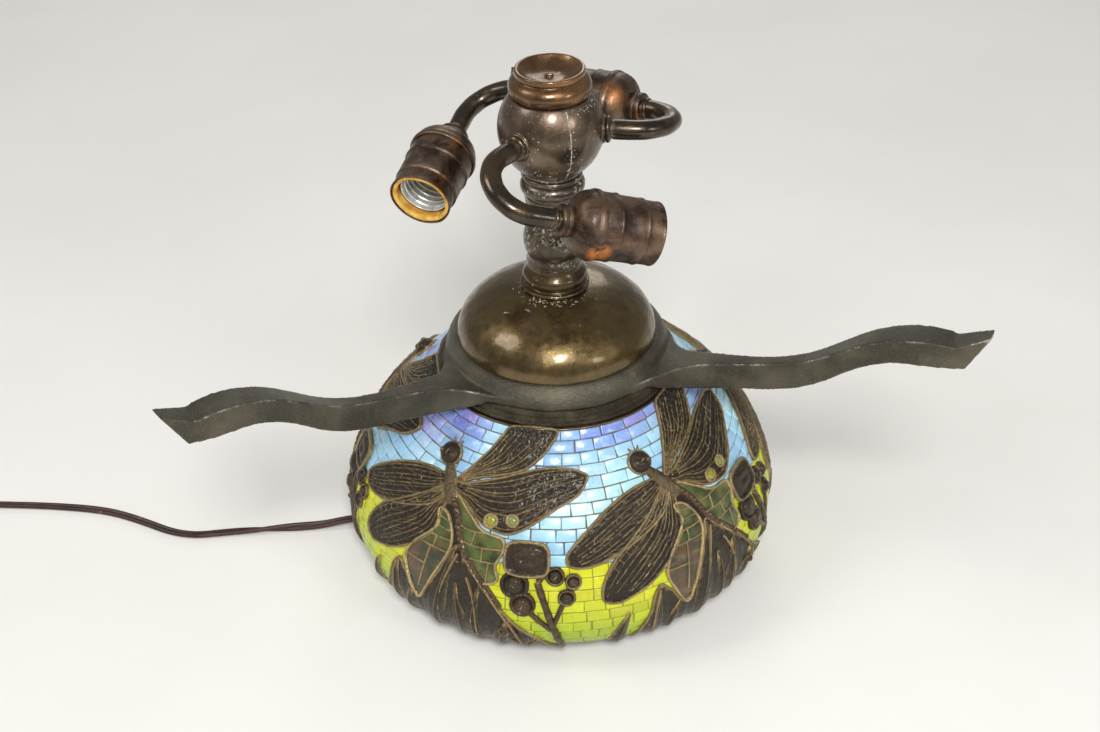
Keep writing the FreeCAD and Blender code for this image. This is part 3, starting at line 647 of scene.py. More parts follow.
def add_mosaic(name, low, high, tint, material, slot, seed):
    """Courses of glass round the vessel between two distances up its side."""
    rng = random.Random(seed)
    parts = Parts()
    courses = max(1, round((high - low) / COURSE))
    tall = (high - low) / courses
    for row in range(courses):
        s0, s1 = low + row * tall + JOINT, low + (row + 1) * tall - JOINT
        radius = at((s0 + s1) / 2, LINE_R)
        around = math.radians(1) * radius
        widths = [rng.uniform(*TILE_WIDTHS) for _ in range(int(math.tau * radius / (sum(TILE_WIDTHS) / 2)))]
        scale = 360 * around / sum(widths)
        azimuth = rng.uniform(0, 10)
        for width in widths:
            span = width * scale / around
            points, faces = tile(azimuth + JOINT / around, azimuth + span - JOINT / around, s0, s1, rng)
            colour = tint(azimuth + span / 2, (s0 + s1) / 2, rng)
            parts.add(on_body(*points.T), faces, np.clip(colour, 0, 1))
            azimuth += span
    parts.make(name, material, slot=slot, replaces=(name,), sharp=50)


def glass_material(name, streak, amount, roughness=0.22):
    """Opalescent art glass: the piece's own colour with drawn streaks, cloudy patches and a rippled face."""
    g = Graph(name)
    drawn = g.noise(55, 4, 0.6, g.vector("MULTIPLY", g.place, (1, 1, 3.2)), 1.6)
    colour = g.over(g.tint(), streak, drawn, 0.5, 0.74, amount)
    clouds = g.noise(120, 3, 0.6, g.vector("MULTIPLY", g.place, (3, 3, 1)), 0.8)
    colour = g.over(colour, (0.02, 0.04, 0.06), clouds, 0.56, 0.75, 0.22)
    colour = g.over(colour, "5a4a35", g.noise(420, 5, 0.7), 0.62, 0.74, 0.4)
    ripple = g.bump(g.noise(240, 2), 0.00035, 0.6)
    rough = g.step(g.noise(90, 3), 0.35, 0.7, roughness, roughness + 0.16)
    return g.done(Base_Color=colour, Roughness=rough, IOR=1.52, Coat_Weight=0.2, Coat_Roughness=0.1,
                  Normal=g.bump(g.noise(900, 3), 0.00008, 0.5, ripple))


def add_grout():
    """Bed behind the tiles, grey-brown behind the blue glass and olive behind the green."""
    around = 180
    azimuths = np.arange(around) * 360 / around
    along = np.linspace(height_to_along(3), float(ALONG[-1]) - 4, 60)
    section = [(s, -0.75) for s in along] + [(s, -2.6) for s in along[::-1]]
    rows = [on_body(azimuths, s, lift + 0.12 * np.sin(azimuths * 3.1 + s)) for s, lift in section]
    tones = [rgb("6a5f47" if s > LIME_ALONG else "97963f") for s, _ in section]
    g = Graph("grout")
    tint = g.tint()
    colour = g.over(tint, g.mix(0.5, tint, "c5b88c"), g.noise(170, 4), 0.4, 0.7, 0.6)
    g.done(Base_Color=colour, Roughness=0.75, Metallic=0.15, Normal=g.bump(g.noise(1200, 4), 0.00025))
    add_mesh("grout", np.vstack(rows), ring_faces(len(section), around, closed=True), g.material,
             colours=np.repeat(tones, around, axis=0), slot="vessel_metal", sharp=60)


# ---- castings ----------------------------------------------------------------------------------
UPPER_WING = [(1.5, 130), (5, 141), (9.5, 153), (13, 163), (17.5, 170.5), (36, 170.5), (33.5, 161), (29, 153),
              (24, 146.5), (17, 142), (9, 137)]
RIGHT_WING = [(0, 131), (5, 131.5), (14, 138), (24, 145), (32, 148.3), (41, 148), (46, 144.8), (46.8, 141.5),
              (43, 133), (36, 126), (30, 118), (24.5, 111.5), (20.5, 110), (13.5, 113.5), (8, 121), (2, 126)]
LEFT_WING = [(0.5, 131), (-6, 131.7), (-12, 130), (-17, 126.5), (-22, 121), (-26.5, 114), (-30.5, 106.5),
             (-33, 100), (-33, 94.5), (-30, 92.2), (-25, 93.3), (-18, 98.5), (-4, 112), (1, 125)]
LOWER_WING = [(0, 128), (-8, 115), (-18.5, 98), (-21.5, 91), (-23.5, 84), (-24.6, 76), (-24, 70),
              (-20.5, 68.3), (-16, 71.3), (-11.5, 76), (-7, 83), (-3, 91), (0, 99), (1, 112), (1.5, 125)]
# each wing with the places in its outline that bound its tip, and the parts its veins divide it into
WINGS = [(UPPER_WING, 4, 5, 9), (RIGHT_WING, 7, 7, 10), (LEFT_WING, 8, 8, 10), (LOWER_WING, 6, 7, 9)]
THORAX = [(-5, 139.5), (-2.5, 140), (3, 128), (4.5, 120), (1.5, 117), (-2, 126)]
TAIL = [(3, 122), (6.3, 113), (9.5, 98), (13.5, 87), (17.5, 77), (21.5, 66)]
HEAD = (-5.0, 143.5)
HEAD_R, HEAD_TOP = 6.5, 5.8
JEWELS = [(16.8, 115.6, 3.4), (23.2, 117.6, 3.0)]
GREEN_LEAF = [(4, 122), (9.5, 117), (13.5, 110.5), (16.5, 108.2), (21, 106.5), (21.6, 100), (19.8, 91),
              (20.6, 82.5), (17.5, 79), (14, 84)]
LONG_LEAF = [(0, 113), (1, 104), (-1, 97.5), (-5, 87.5), (-7, 77.5), (-5.4, 66), (-2, 53), (0.5, 62),
             (3, 75), (6, 90), (6.5, 98), (5.5, 105), (3, 112)]
SEPALS = [(-13, 21), (-12, 58), (-9.5, 71), (-6.5, 66), (-2, 54), (4, 76), (8, 96), (12, 88), (17.5, 74),
          (22, 63), (26, 53), (33, 38), (34, 21)]
POD = [(28.1 + 6.0 * x, 97.2 + 10.0 * y)
       for x, y in (squarish(t, 0.6) for t in np.arange(16) * math.tau / 16)]
BERRIES = [(25.2, 81.5, 8.4), (27.4, 70.0, 7.6), (35.6, 88, 5.6), (40.2, 84.5, 4.8), (38.4, 75, 5.2),
           (22.4, 48, 3.4)]
GAP = [(0, 118), (4.5, 118), (7.5, 108), (9.5, 98), (12.5, 89), (7, 88), (5, 104)]      # beside the tail
# stems of the pod and the berries, with their widths
STEMS = [([(31, 84), (33.4, 66), (36.4, 40), (37, 24)], 4.2), ([(38.2, 75), (36.6, 66), (35, 56)], 3.0),
         ([(28.4, 66), (31, 60), (34.4, 52)], 3.2), ([(38.6, 80), (38.3, 76)], 2.6),
         ([(32.6, 88), (31.2, 84)], 3.4), ([(22.6, 46), (25, 36), (27, 24)], 2.4)]
# blades that rise from the foot: centre line, half width at each of its points
BLADES = [([(-10.5, 20), (-11, 45), (-9.7, 70)], (4.2, 4.6, 0.4)),
          ([(-4.5, 20), (-6.5, 38), (-4, 57)], (4.4, 4.0, 0.5)),
          ([(2.5, 20), (3.5, 52), (8, 95)], (5.0, 6.2, 0.5)),
          ([(10, 20), (10.5, 42), (9.5, 74)], (3.6, 4.6, 0.5)),
          ([(16.5, 20), (14, 48), (16, 76)], (4.6, 5.2, 0.5)),
          ([(22, 20), (21, 40), (24, 58)], (4.2, 4.4, 0.4)),
          ([(28.5, 20), (28, 33), (31, 45)], (4.8, 4.0, 0.4)),
          ([(-20.6, 20), (-20.5, 42), (-18, 59)], (6.0, 4.4, 0.4))]
BLADE_VEINS = [[(12.5, 80), (14.5, 68), (15.2, 52), (14.6, 30)], [(9, 92), (6.5, 76), (5, 60), (4.4, 34)],
               [(17.5, 76), (20.5, 66), (24.5, 52), (27, 36)], [(-9.7, 69), (-11.2, 54), (-11.6, 34)]]
# cames that divide the green leaf, then the long leaf
CAMES = [[(7.2, 109), (11, 107.2), (16.5, 108)], [(9.3, 100), (15, 99.2), (21.4, 100.4)],
         [(11.8, 91.5), (20, 91.8)], [(15.6, 99.4), (15.8, 91.5)], [(12.9, 107.4), (12.4, 99.6)],
         [(17.8, 91.6), (17.6, 80)], [(0.6, 109), (5, 108)], [(0.8, 103.6), (5.6, 103)],
         [(-1, 97.4), (6.4, 97.6)], [(-3.8, 90.6), (5.8, 90.2)], [(1.6, 97.4), (1.2, 90.4)],
         [(0.4, 90.4), (-0.4, 78), (-1.6, 62)], [(-6.4, 78.4), (-0.6, 78)]]
DARK, TAN, COPPER, STONE, CAME = rgb("3b342b"), rgb("b89f70"), rgb("7a5f48"), rgb("403b30"), rgb("cdb582")
SINK = -1.7             # how far below the glass face the castings reach
FIELD = math.radians(118.0)     # mm per degree used to lay the castings out flat


def flat(outline):
    return np.array([(u * FIELD, s) for u, s in outline], float)


def unflat(line):
    return [(x / FIELD, y) for x, y in line]


def edge_distance(points, loop):
    """Distance of flat points from a loop, and whether each lies inside it."""
    a, b = loop, np.roll(loop, -1, axis=0)
    along = b - a
    off = points[:, None, :] - a[None]
    t = np.clip((off * along).sum(2) / ((along ** 2).sum(1) + 1e-12), 0, 1)
    distance = np.linalg.norm(off - t[..., None] * along, axis=2).min(1)
    crosses = (a[:, 1] > points[:, None, 1]) != (b[:, 1] > points[:, None, 1])
    rise = np.where(np.abs(along[:, 1]) < 1e-9, 1e-9, along[:, 1])
    reach = a[:, 0] + (points[:, None, 1] - a[:, 1]) * along[:, 0] / rise
    return distance, (crosses & (points[:, None, 0] < reach)).sum(1) % 2 == 1


def triangulated(points, edge):
    """Triangles of the flat points inside the loop, each anticlockwise."""
    result = delaunay_2d_cdt([Vector(p) for p in points], [], [edge], 1, 1e-6)
    origin = [source[0] if source else None for source in result[3]]
    faces = []
    for face in result[2]:
        corners = [origin[i] for i in face]
        if None in corners or len(set(corners)) < 3:
            continue
        a, b, c = (points[i] for i in corners)
        turn = (b[0] - a[0]) * (c[1] - a[1]) - (b[1] - a[1]) * (c[0] - a[0])
        faces.append(corners if turn > 0 else corners[::-1])
    return faces


def relief(outline, lift, grain):
    """Closed plate over an outline, in (degrees, mm, lift).

    lift(flat points, distance to edge) gives the heights of its top.
    """
    loop = smooth_line(flat(outline), grain, closed=True)
    low, high = loop.min(0), loop.max(0)
    columns, rows = np.meshgrid(np.arange(low[0], high[0], grain), np.arange(low[1], high[1], grain * 0.87))
    columns[1::2] += grain / 2
    shake = np.random.default_rng(1).uniform(-0.2, 0.2, (columns.size, 2)) * grain
    inner = np.column_stack([columns.ravel(), rows.ravel()]) + shake
    distance, inside = edge_distance(inner, loop)
    kept = inside & (distance > 0.5 * grain)
    spots = np.vstack([loop, inner[kept]])
    size, count = len(loop), len(spots)
    edge = list(range(size))
    top, bottom = triangulated(spots, edge), triangulated(loop, edge)
    heights = lift(spots, np.concatenate([np.zeros(size), distance[kept]]))
    points = np.vstack([np.column_stack([spots, heights]), np.column_stack([loop, np.full(size, SINK)])])
    points[:, 0] /= FIELD
    ahead = np.roll(loop, -1, axis=0)
    anticlockwise = (loop[:, 0] * ahead[:, 1] - ahead[:, 0] * loop[:, 1]).sum() > 0
    faces = top + [[count + i for i in reversed(face)] for face in bottom]
    for k in edge:
        after = (k + 1) % size
        wall = (count + k, count + after, after, k)
        faces.append(wall if anticlockwise else wall[::-1])
    return points, faces


def rough(points, scale, seed=0.0):
    return np.array([noise.noise((x / scale, y / scale, seed)) for x, y in points])


def laid(points, azimuth):
    return on_body(points[:, 0] + azimuth, points[:, 1], points[:, 2])


# the shapes below come as makers, which give points and faces for any azimuth of the thorax
def plate(outline, lift, grain):
    points, faces = relief(outline, lift, grain)
    return lambda azimuth: (laid(points, azimuth), faces)


def strip(line, width, height, lift=0.0, taper=0.0, wave=0.0, seed=0, closed=False):
    """Half-round bead along a line of (degrees, mm)."""
    places = smooth_line(flat(line), 0.9, closed)
    places[:, 0] /= FIELD
    rng = random.Random(seed)
    phases = rng.uniform(0, 6), rng.uniform(0, 6)
    last = max(len(places) - 1, 1)

    def shape(k):
        waves = math.sin(k * 0.9 + phases[0]) * 0.5 + math.sin(k * 0.37 + phases[1]) * 0.5
        size = 1 - taper * (k / last) + wave * waves
        return half_round(width * size, height * size)

    def made(azimuth):
        spots = places[:, 0] + azimuth, places[:, 1]
        return sweep(on_body(*spots, lift), body_normal(*spots), shape, closed)
    return made


def stud(place, outline, sides, lift=0.0, **more):
    """Turned shape standing on the vessel."""
    return lambda azimuth: lathe(outline, sides, body_frame(place[0] + azimuth, place[1], lift), **more)


def domed(radius, foot, wall, shoulder, top):
    """Outline of a dome: its radius, the heights of its foot and wall, a place on its shoulder, its top."""
    return [(0, foot), (radius, foot), (radius, wall), (shoulder, (0.02, top)), (0, top)]


def bead(place, radius, height, lift):
    return stud(place, domed(radius, -2.6, 0, (radius * 0.72, height * 0.72), height), 14, lift, ease=0.1,
                fine=0.7)


def ring_bead(place, radius, thick, lift=0.6):
    """Raised ring."""
    outline = [(radius - thick, -2), (radius + thick, -2), (radius + thick, 0),
               ((radius, thick * 1.3), (radius - thick, 0))]
    return stud(place, outline, 32, lift, wobble=0.25, seed=place[0], ease=0.1)


def wing_veins(outline, tip_a, tip_b, count, seed):
    """Veins that fan from a wing's root to its tip or far edge, with short struts between them."""
    rng = random.Random(seed)
    loop = flat(outline)
    size = len(loop)
    stations = np.linspace(0, 1, 60)
    sides = []
    for stops in (list(range(tip_a + 1)), [k % size for k in range(size, tip_b - 1, -1)]):
        track = smooth_line(loop[stops], 0.6)
        gone = travelled(track)
        spots = np.linspace(0, gone[-1], 60)
        sides.append(np.column_stack([np.interp(spots, gone, track[:, k]) for k in (0, 1)]))
    lines = []
    for k in range(1, count):
        share = k / count + rng.uniform(-0.03, 0.03)
        lean = rng.uniform(0.05, 0.22) * (1 if share > 0.5 else -1)
        mix = np.clip(share + lean * np.clip(stations - 0.45, 0, 1) ** 1.3, 0.04, 0.96)[:, None]
        end = 60 - rng.randint(2, 10)
        lines.append(blend(*sides, mix)[rng.choice((3, 5, 8)):end:4])
    struts = []
    for _ in range(int(count * 2.2)):
        k = rng.randrange(len(lines) - 1)
        a, b = lines[k:k + 2]
        j = rng.randrange(4, min(len(a), len(b)) - 1)
        struts.append([a[j], (a[j] + b[j - 1]) / 2 + rng.uniform(-0.3, 0.3), b[j - 1]])
    return [unflat(line) for line in lines], [unflat(line) for line in struts]


def crumpled(seed):
    """Lift of a wing: lower at the edge, crumpled all over."""
    return lambda spots, distance: (1.25 * (1 - 0.35 * np.exp(-distance / 0.8))
                                    + 0.7 * rough(spots, 1.7, seed) + 0.42 * rough(spots, 0.9, seed + 7)
                                    + 0.25 * rough(spots, 6.0, seed + 3))


def thorax_lift(spots, distance):
    return 1.2 + 1.9 * (1 - np.exp(-distance / 1.4)) + 0.3 * rough(spots, 2.0)


def sepal_lift(spots, distance):
    waves = 0.35 * np.sin(spots[:, 0] * 1.15 + 0.02 * spots[:, 1])
    return 0.75 * (1 - 0.5 * np.exp(-distance)) + waves + 0.3 * rough(spots, 3.0)


def pod_lift(spots, distance):
    """A rim, a hollow inside it and a raised middle."""
    middle = 1.7 * np.exp(-((distance - 7) / 2.6) ** 2)
    return 2.5 - 1.3 * np.clip((distance - 1.2) / 1.2, 0, 1) + middle + 0.3 * rough(spots, 1.8)


def blade_lift(top, seed):
    return lambda spots, distance: (0.55 + (top - 0.55) * (1 - np.exp(-distance / 1.5))
                                    + 0.2 * rough(spots, 2.2, seed))


def dragonfly_shapes():
    """Each shape of one dragonfly as (maker, tint)."""
    shapes = []
    for k, (outline, tip_a, tip_b, count) in enumerate(WINGS):
        shapes.append((plate(outline, crumpled(k * 3.1), 1.0), DARK))
        veins, struts = wing_veins(outline, tip_a, tip_b, count, 11 + k)
        for j, vein in enumerate(veins):
            shapes.append((strip(vein, 1.1, 0.7, 1.15, 0.45, 0.3, j), blend(TAN, DARK, 0.45 + 0.3 * (j % 2))))
        for j, strut in enumerate(struts):
            shapes.append((strip(strut, 0.8, 0.45, 1.15, seed=j), blend(TAN, DARK, 0.75)))
        shapes.append((strip(outline, 1.7, 1.35, 0.75, wave=0.14, seed=k, closed=True),
                       blend(TAN, DARK, 0.4)))
    shapes.append((plate(THORAX, thorax_lift, 0.8), blend(DARK, TAN, 0.3)))
    shapes.append((strip(TAIL, 5.0, 2.2, 0.3, 0.35), blend(DARK, COPPER, 0.35)))
    rings = unflat(smooth_line(flat(TAIL), 3.1))
    for k, place in enumerate(rings):
        size = 2.0 * (1 - 0.3 * k / len(rings))
        shapes.append((bead(place, size, size * 0.75, 1.5), blend(DARK, COPPER, 0.6)))
    head = domed(HEAD_R, -2, 0.6, (HEAD_R * 0.8, HEAD_TOP * 0.74), HEAD_TOP)
    shapes.append((stud(HEAD, head, 40, wobble=0.5, seed=3.0), blend(DARK, COPPER, 0.1)))
    x, y = HEAD
    for side in (-1, 1):
        shapes.append((bead((x + side * 2.2, y - 0.6), 2.0, 1.6, 4.9), blend(DARK, COPPER, 0.5)))
        feeler = [(x + side * 0.8, y + 5), (x + side * 2.2, y + 9.5)]
        shapes.append((strip(feeler, 2.2, 1.7, 0.6, 0.7), blend(TAN, DARK, 0.3)))
    shapes.append((ring_bead(HEAD, HEAD_R, 0.9), blend(TAN, DARK, 0.2)))
    for u, s, radius in JEWELS:
        shapes.append((ring_bead((u, s), radius + 0.2, 1.0, 0.9), TAN))
    return shapes


def blade_outline(line, widths):
    """Outline of a blade along a line, from its half widths at even steps."""
    track = smooth_line(flat(line), 2.0)
    half = np.interp(np.linspace(0, 1, len(track)), np.linspace(0, 1, len(widths)), widths)
    run = np.gradient(track, axis=0)
    run /= np.linalg.norm(run, axis=1)[:, None]
    side = np.column_stack([-run[:, 1], run[:, 0]]) * half[:, None]
    return unflat(np.vstack([track + side, (track - side)[::-1]]))


def berry(u, s, radius):
    """Seed head with a sunk ring inside its rim and a raised middle."""
    top = 4.1 if radius > 4.6 else 4.6
    outline = [(0, -2), (radius, -2), (radius, 1.0), ((radius * 0.93, 2.2), (radius * 0.74, 1.7)),
               (radius * 0.66, 1.3), ((radius * 0.5, 3.6), (0.02, top)), (0, top)]
    return stud((u, s), outline, 36, wobble=0.45, seed=u)


def foliage_shapes():
    """Each metal shape of one spray of foliage as (maker, tint)."""
    shapes = [(plate(SEPALS, sepal_lift, 1.5), STONE),
              (plate(GAP, lambda spots, distance: 0.6 + 0.3 * rough(spots, 1.6), 1.2), DARK)]
    for k, (line, widths) in enumerate(BLADES):
        top = 1.9 + 0.3 * (k % 3)
        blade = plate(blade_outline(line, widths), blade_lift(top, k), 1.2)
        shapes.append((blade, blend(STONE, DARK, 0.25 * (k % 3))))
        shapes.append((strip(line, 1.3, 0.8, top - 0.15, 0.5, 0.1), blend(STONE, TAN, 0.25)))
    for line in BLADE_VEINS:
        shapes.append((strip(line, 1.6, 1.2, 1.4, 0.3, 0.15), blend(TAN, COPPER, 0.35)))
    for outline in (GREEN_LEAF, LONG_LEAF):
        shapes.append((strip(outline, 1.8, 1.4, 0.7, wave=0.16, closed=True), CAME))
    for line in CAMES:
        shapes.append((strip(line, 1.15, 0.85, 0.75, wave=0.15), blend(CAME, DARK, 0.3)))
    shapes.append((strip(SEPALS, 1.5, 1.0, 0.6, wave=0.15, closed=True), blend(TAN, DARK, 0.35)))
    shapes.append((plate(POD, pod_lift, 1.0), blend(DARK, COPPER, 0.15)))
    shapes.append((strip(POD, 1.6, 1.1, 1.5, wave=0.12, closed=True), blend(TAN, DARK, 0.25)))
    for k, (u, s, radius) in enumerate(BERRIES):
        shapes.append((berry(u, s, radius), blend(DARK, COPPER, 0.1 + 0.25 * (k % 2))))
        shapes.append((ring_bead((u, s), radius * 0.86, 0.8, 1.2), blend(TAN, DARK, 0.45)))
    for line, width in STEMS:
        shapes.append((strip(line, width, width * 0.5, 0.4, wave=0.1), blend(DARK, COPPER, 0.3)))
    return shapes


def casting_material():
    """Cast metal under a dark gritty patina, lighter and warmer where it stands out, with painted shade
    near-black in its hollows.
    """
    g = Graph("castings")
    base = g.tint()
    grit = g.noise(650, 5, 0.7)
    colour = g.over(base, g.mix(0.6, base, "1c1a17"), g.noise(70, 4), 0.35, 0.68, 0.6)
    colour = g.over(colour, "84714f", grit, 0.55, 0.72, 0.5)
    colour = g.over(colour, "5d6455", g.noise(300, 4, 0.6), 0.58, 0.72, 0.35)
    colour = g.mix(g.worn(0.53, 0.62), colour, "c0a878")
    # near-black where the surface lies in a hollow: painted shade
    colour = g.mix(g.worn(0.4, 0.495, 0.85, 0.0), colour, "120f0b")
    pits = g.node("ShaderNodeTexVoronoi", [("Vector", g.place), ("Scale", 520)]).outputs["Distance"]
    colour = g.mix(g.step(pits, 0.0, 0.2, 0.75, 0), colour, "0b0907")
    bump = g.bump(g.noise(900, 4, 0.7), 0.0008, 0.9, g.bump(g.noise(330, 3, 0.6), 0.0016, 0.8))
    return g.done(Base_Color=colour, Metallic=g.step(grit, 0.3, 0.7, 0.6, 0.9), Coat_Weight=0.2,
                  Coat_Roughness=0.15, Roughness=g.step(grit, 0.35, 0.7, 0.46, 0.26), Normal=bump)


def add_castings():
    metal = casting_material()
    shapes = dragonfly_shapes()
    for k, azimuth in enumerate(AZIMUTHS, 1):
        parts = Parts()
        for maker, tint in shapes:
            parts.add(*maker(azimuth), tint)
        parts.make("dragonfly_relief_%d" % k, metal, slot="castings", replaces=("dragonfly_%d" % k,),
                   sharp=60)
    parts = Parts()
    spray = foliage_shapes()
    for azimuth in AZIMUTHS:
        for maker, tint in spray:
            parts.add(*maker(azimuth), tint)
    parts.make("foliage_relief", metal, slot="castings", replaces=("foliage_castings",), sharp=60)

def add_neck_came():
    """Bead where the blue glass meets the neck ring, in the frame's own material for castings."""
    azimuths = np.arange(240) * 1.5
    along = TOP_ALONG - 0.8
    path, ups = on_body(azimuths, along, 0.2), body_normal(azimuths, np.full(240, along))
    points, faces = sweep(path, ups, lambda k: half_round(1.7, 1.1 + 0.2 * math.sin(k * 0.7)), closed=True)
    parts = Parts().add(points, faces, blend(CAME, DARK, 0.15))
    parts.make("neck_came", bpy.data.materials["castings"], slot="castings", sharp=60)


LEAF_GREEN, LEAF_OLIVE, LEAF_DARK, LEAF_RUST = rgb("4b5f30"), rgb("6b6c3a"), rgb("262d1b"), rgb("5c3d2a")


def leaf_tint(points, long_leaf, shift):
    """Streaky green glass, turning dark and rusty in the long leaf's lower half."""
    tints = []
    for u, s, _ in points:
        field = within(noise.noise((u * 0.35 + shift, s * 0.09, 4.0)) + 0.5, 0, 1)
        dark = within(noise.noise((u * 0.3, s * 0.12 + shift, 8.0)) + 0.35, 0, 0.9)
        tint = blend(blend(LEAF_GREEN, LEAF_OLIVE, field), LEAF_DARK, dark)
        if long_leaf:
            tint = blend(tint, blend(LEAF_DARK, LEAF_RUST, field), within((94 - s) / 6, 0, 0.92))
        tints.append(tint)
    return np.array(tints)


def add_leaf_glass():
    parts = Parts()
    for outline in (GREEN_LEAF, LONG_LEAF):
        points, faces = relief(outline, lambda spots, distance: 0.7 + 0.12 * rough(spots, 4.0), 1.6)
        for k, azimuth in enumerate(AZIMUTHS):
            parts.add(laid(points, azimuth), faces, leaf_tint(points, outline is LONG_LEAF, k * 3.7))
    parts.make("leaf_glass", glass_material("leaf_glass", "8b8f5c", 0.3), slot="green_glass", sharp=60)


def add_jewels():
    parts = Parts()
    for azimuth in AZIMUTHS:
        for (u, s, radius), colour in zip(JEWELS, ("8f9430", "7c8a4e")):
            jewel = stud((u, s), domed(radius, -1.5, 0.9, (radius * 0.7, 1.8), 2.2), 28)
            parts.add(*jewel(azimuth), rgb(colour))
    parts.make("wing_jewels_cut", glass_material("jewel_glass", "b8ba62", 0.4, 0.1), slot="jewel_glass",
               replaces=("wing_jewels",), sharp=60)


def add_rims():
    """Cast band round the foot and beaded ring under the shade support. Their browns are darkened to stand
    for the shade at the foot: painted shade over the cast metal's colour.
    """
    g = Graph("rim_metal_painted_shade")
    grit = g.noise(500, 5, 0.65)
    # dark browns that stand for the shade at the foot: painted shade over the metal's own colour
    colour = g.over(g.over("2f2b21", "4e4737", g.noise(60, 4), 0.35, 0.68), "795e3b", grit, 0.55, 0.75, 0.5)
    g.done(Base_Color=colour, Metallic=0.75, Roughness=g.step(grit, 0.3, 0.7, 0.5, 0.34),
           Normal=g.bump(g.noise(800, 4, 0.7), 0.0008))
    foot = RIM_ALONG
    section = [(0.2, -2.9), (0.2, 1.2), (0.9, 2.1), (2.4, 2.55), (foot * 0.4, 2.35), (foot * 0.62, 2.1),
               (foot * 0.72, 2.6), (foot * 0.85, 2.5), (foot * 0.96, 1.7), (foot, 0.4), (foot, -2.9)]
    azimuths = np.arange(300) * 1.2
    rows = []
    for s, lift in section:
        shift = [0.8 * noise.noise((math.cos(a) * 22, math.sin(a) * 22, s * 0.2))
                 for a in map(math.radians, azimuths)]
        row = on_body(azimuths, s, lift + (np.array(shift) if lift > 0 else 0))
        row[:, 2] = np.maximum(row[:, 2], 0.4 * MM)
        rows.append(row)
    add_mesh("bottom_rim_cast", np.vstack(rows), ring_faces(len(section), 300, closed=True, flip=True),
             g.material, slot="vessel_metal", replaces=("bottom_rim",), sharp=55)
    outline = [(64, GLASS_TOP), (70.6, GLASS_TOP), ((71.4, 132.9), (70.4, 134.2)),
               ((68.4, 135.6), (68.0, 137.2)), (66.2, 138.8), (66.2, 139.6), (64, 139.6)]
    add_mesh("neck_rim_bead", *lathe(outline, 180, wobble=0.25), g.material, slot="vessel_metal",
             replaces=("neck_rim",), sharp=50)


# ---- shade support -----------------------------------------------------------------------------
def remeshed(node, name, voxel, iterations):
    """Mesh of a CAD piece rebuilt in small voxels and smoothed, so that its edges are eased."""
    made = add_object(name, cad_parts[node].data.copy())
    remesh = made.modifiers.new("remesh", "REMESH")
    remesh.mode = "VOXEL"
    remesh.voxel_size = voxel
    smooth = made.modifiers.new("smooth", "SMOOTH")
    smooth.factor = 0.5
    smooth.iterations = iterations
    bpy.context.view_layer.update()
    mesh = bpy.data.meshes.new_from_object(made.evaluated_get(bpy.context.evaluated_depsgraph_get()))
    bpy.data.objects.remove(made)
    return mesh


def add_support():
    """The CAD support as a sand casting: its corners eased and its faces slightly uneven."""
    cast = remeshed("shade_support", "shade_support_cast", 0.0009, 2)
    places, normals = np.empty((2, len(cast.vertices) * 3))
    cast.vertices.foreach_get("co", places)
    cast.vertices.foreach_get("normal", normals)
    places, normals = places.reshape(-1, 3), normals.reshape(-1, 3)
    lift = np.array([0.16 * noise.noise(p * 90) + 0.1 * noise.noise(p * 330) for p in map(Vector, places)])
    cast.vertices.foreach_set("co", (places + normals * lift[:, None] * MM).ravel())
    g = Graph("iron")
    grain = g.noise(900, 5, 0.7)
    colour = g.over("4a463b", "696455", g.noise(28, 4), 0.35, 0.68)
    colour = g.over(colour, "6d6449", g.noise(160, 5, 0.65), 0.55, 0.72, 0.5)
    colour = g.over(colour, "29251c", g.noise(420, 4, 0.7), 0.66, 0.76, 0.6)
    # near-white along the sharp edges: painted highlight, over edges worn bare
    edges = g.times(g.worn(0.52, 0.58), g.step(g.noise(110, 4), 0.48, 0.62))
    colour = g.over(g.mix(edges, colour, "c9c8c0"), "a5a49a", g.noise(1500, 2), 0.62, 0.7, 0.35)
    g.done(Base_Color=colour, Metallic=0.7, Roughness=g.step(grain, 0.3, 0.7, 0.46, 0.3),
           Normal=g.bump(grain, 0.0006, 0.9, g.bump(g.noise(140, 4), 0.0012, 0.5)))
    add_piece("shade_support_cast", cast, g.material, slot="iron", replaces=("shade_support",), sharp=60)


# ---- dome, stem and cluster --------------------------------------------------------------------
def bronze(name, dark, light, hot, roughness, crud=0.0, metallic=0.8, scratches=()):
    """Patinated bronze: cloudy browns, a worn warm tone on edges, fine scratches and pale dirt."""
    g = Graph(name)
    colour = g.over(dark, light, g.noise(38, 5, 0.6, None, 0.6), 0.32, 0.7)
    colour = g.over(colour, hot, g.noise(150, 5, 0.65), 0.56, 0.76, 0.4)
    colour = g.over(colour, blend(rgb(dark), (0, 0, 0), 0.5), g.noise(480, 4, 0.7), 0.62, 0.76, 0.45)
    edges = g.times(g.worn(0.52, 0.58), g.step(g.noise(200, 3), 0.3, 0.6))
    colour = g.mix(edges, colour, blend(rgb(hot), (1, 0.8, 0.55), 0.35))
    dull = g.step(g.noise(210, 4), 0.3, 0.7, roughness, roughness + 0.18)
    if crud:
        spots = g.step(g.noise(520, 3, 0.75), 0.77 - crud, 0.83 - crud)
        spots = g.times(spots, g.step(g.noise(70, 2), 0.5, 0.62))
        colour = g.mix(spots, colour, "c9c3b4")
        dull = g.math("ADD", dull, g.times(spots, 0.4), True)
    for start, end, width in scratches:
        line = g.times(scratch_mask(g, start, end, width), g.step(g.noise(700, 3), 0.4, 0.55))
        colour = g.mix(line, colour, "d8cfba")
        dull = g.math("ADD", dull, g.times(line, 0.3), True)
    bump = g.bump(g.noise(1100, 4, 0.7), 0.00012, 0.6, g.bump(g.noise(160, 3), 0.0005, 0.35))
    return g.done(Base_Color=colour, Metallic=metallic, Roughness=dull, Normal=bump, Coat_Weight=0.45,
                  Coat_Roughness=0.12)


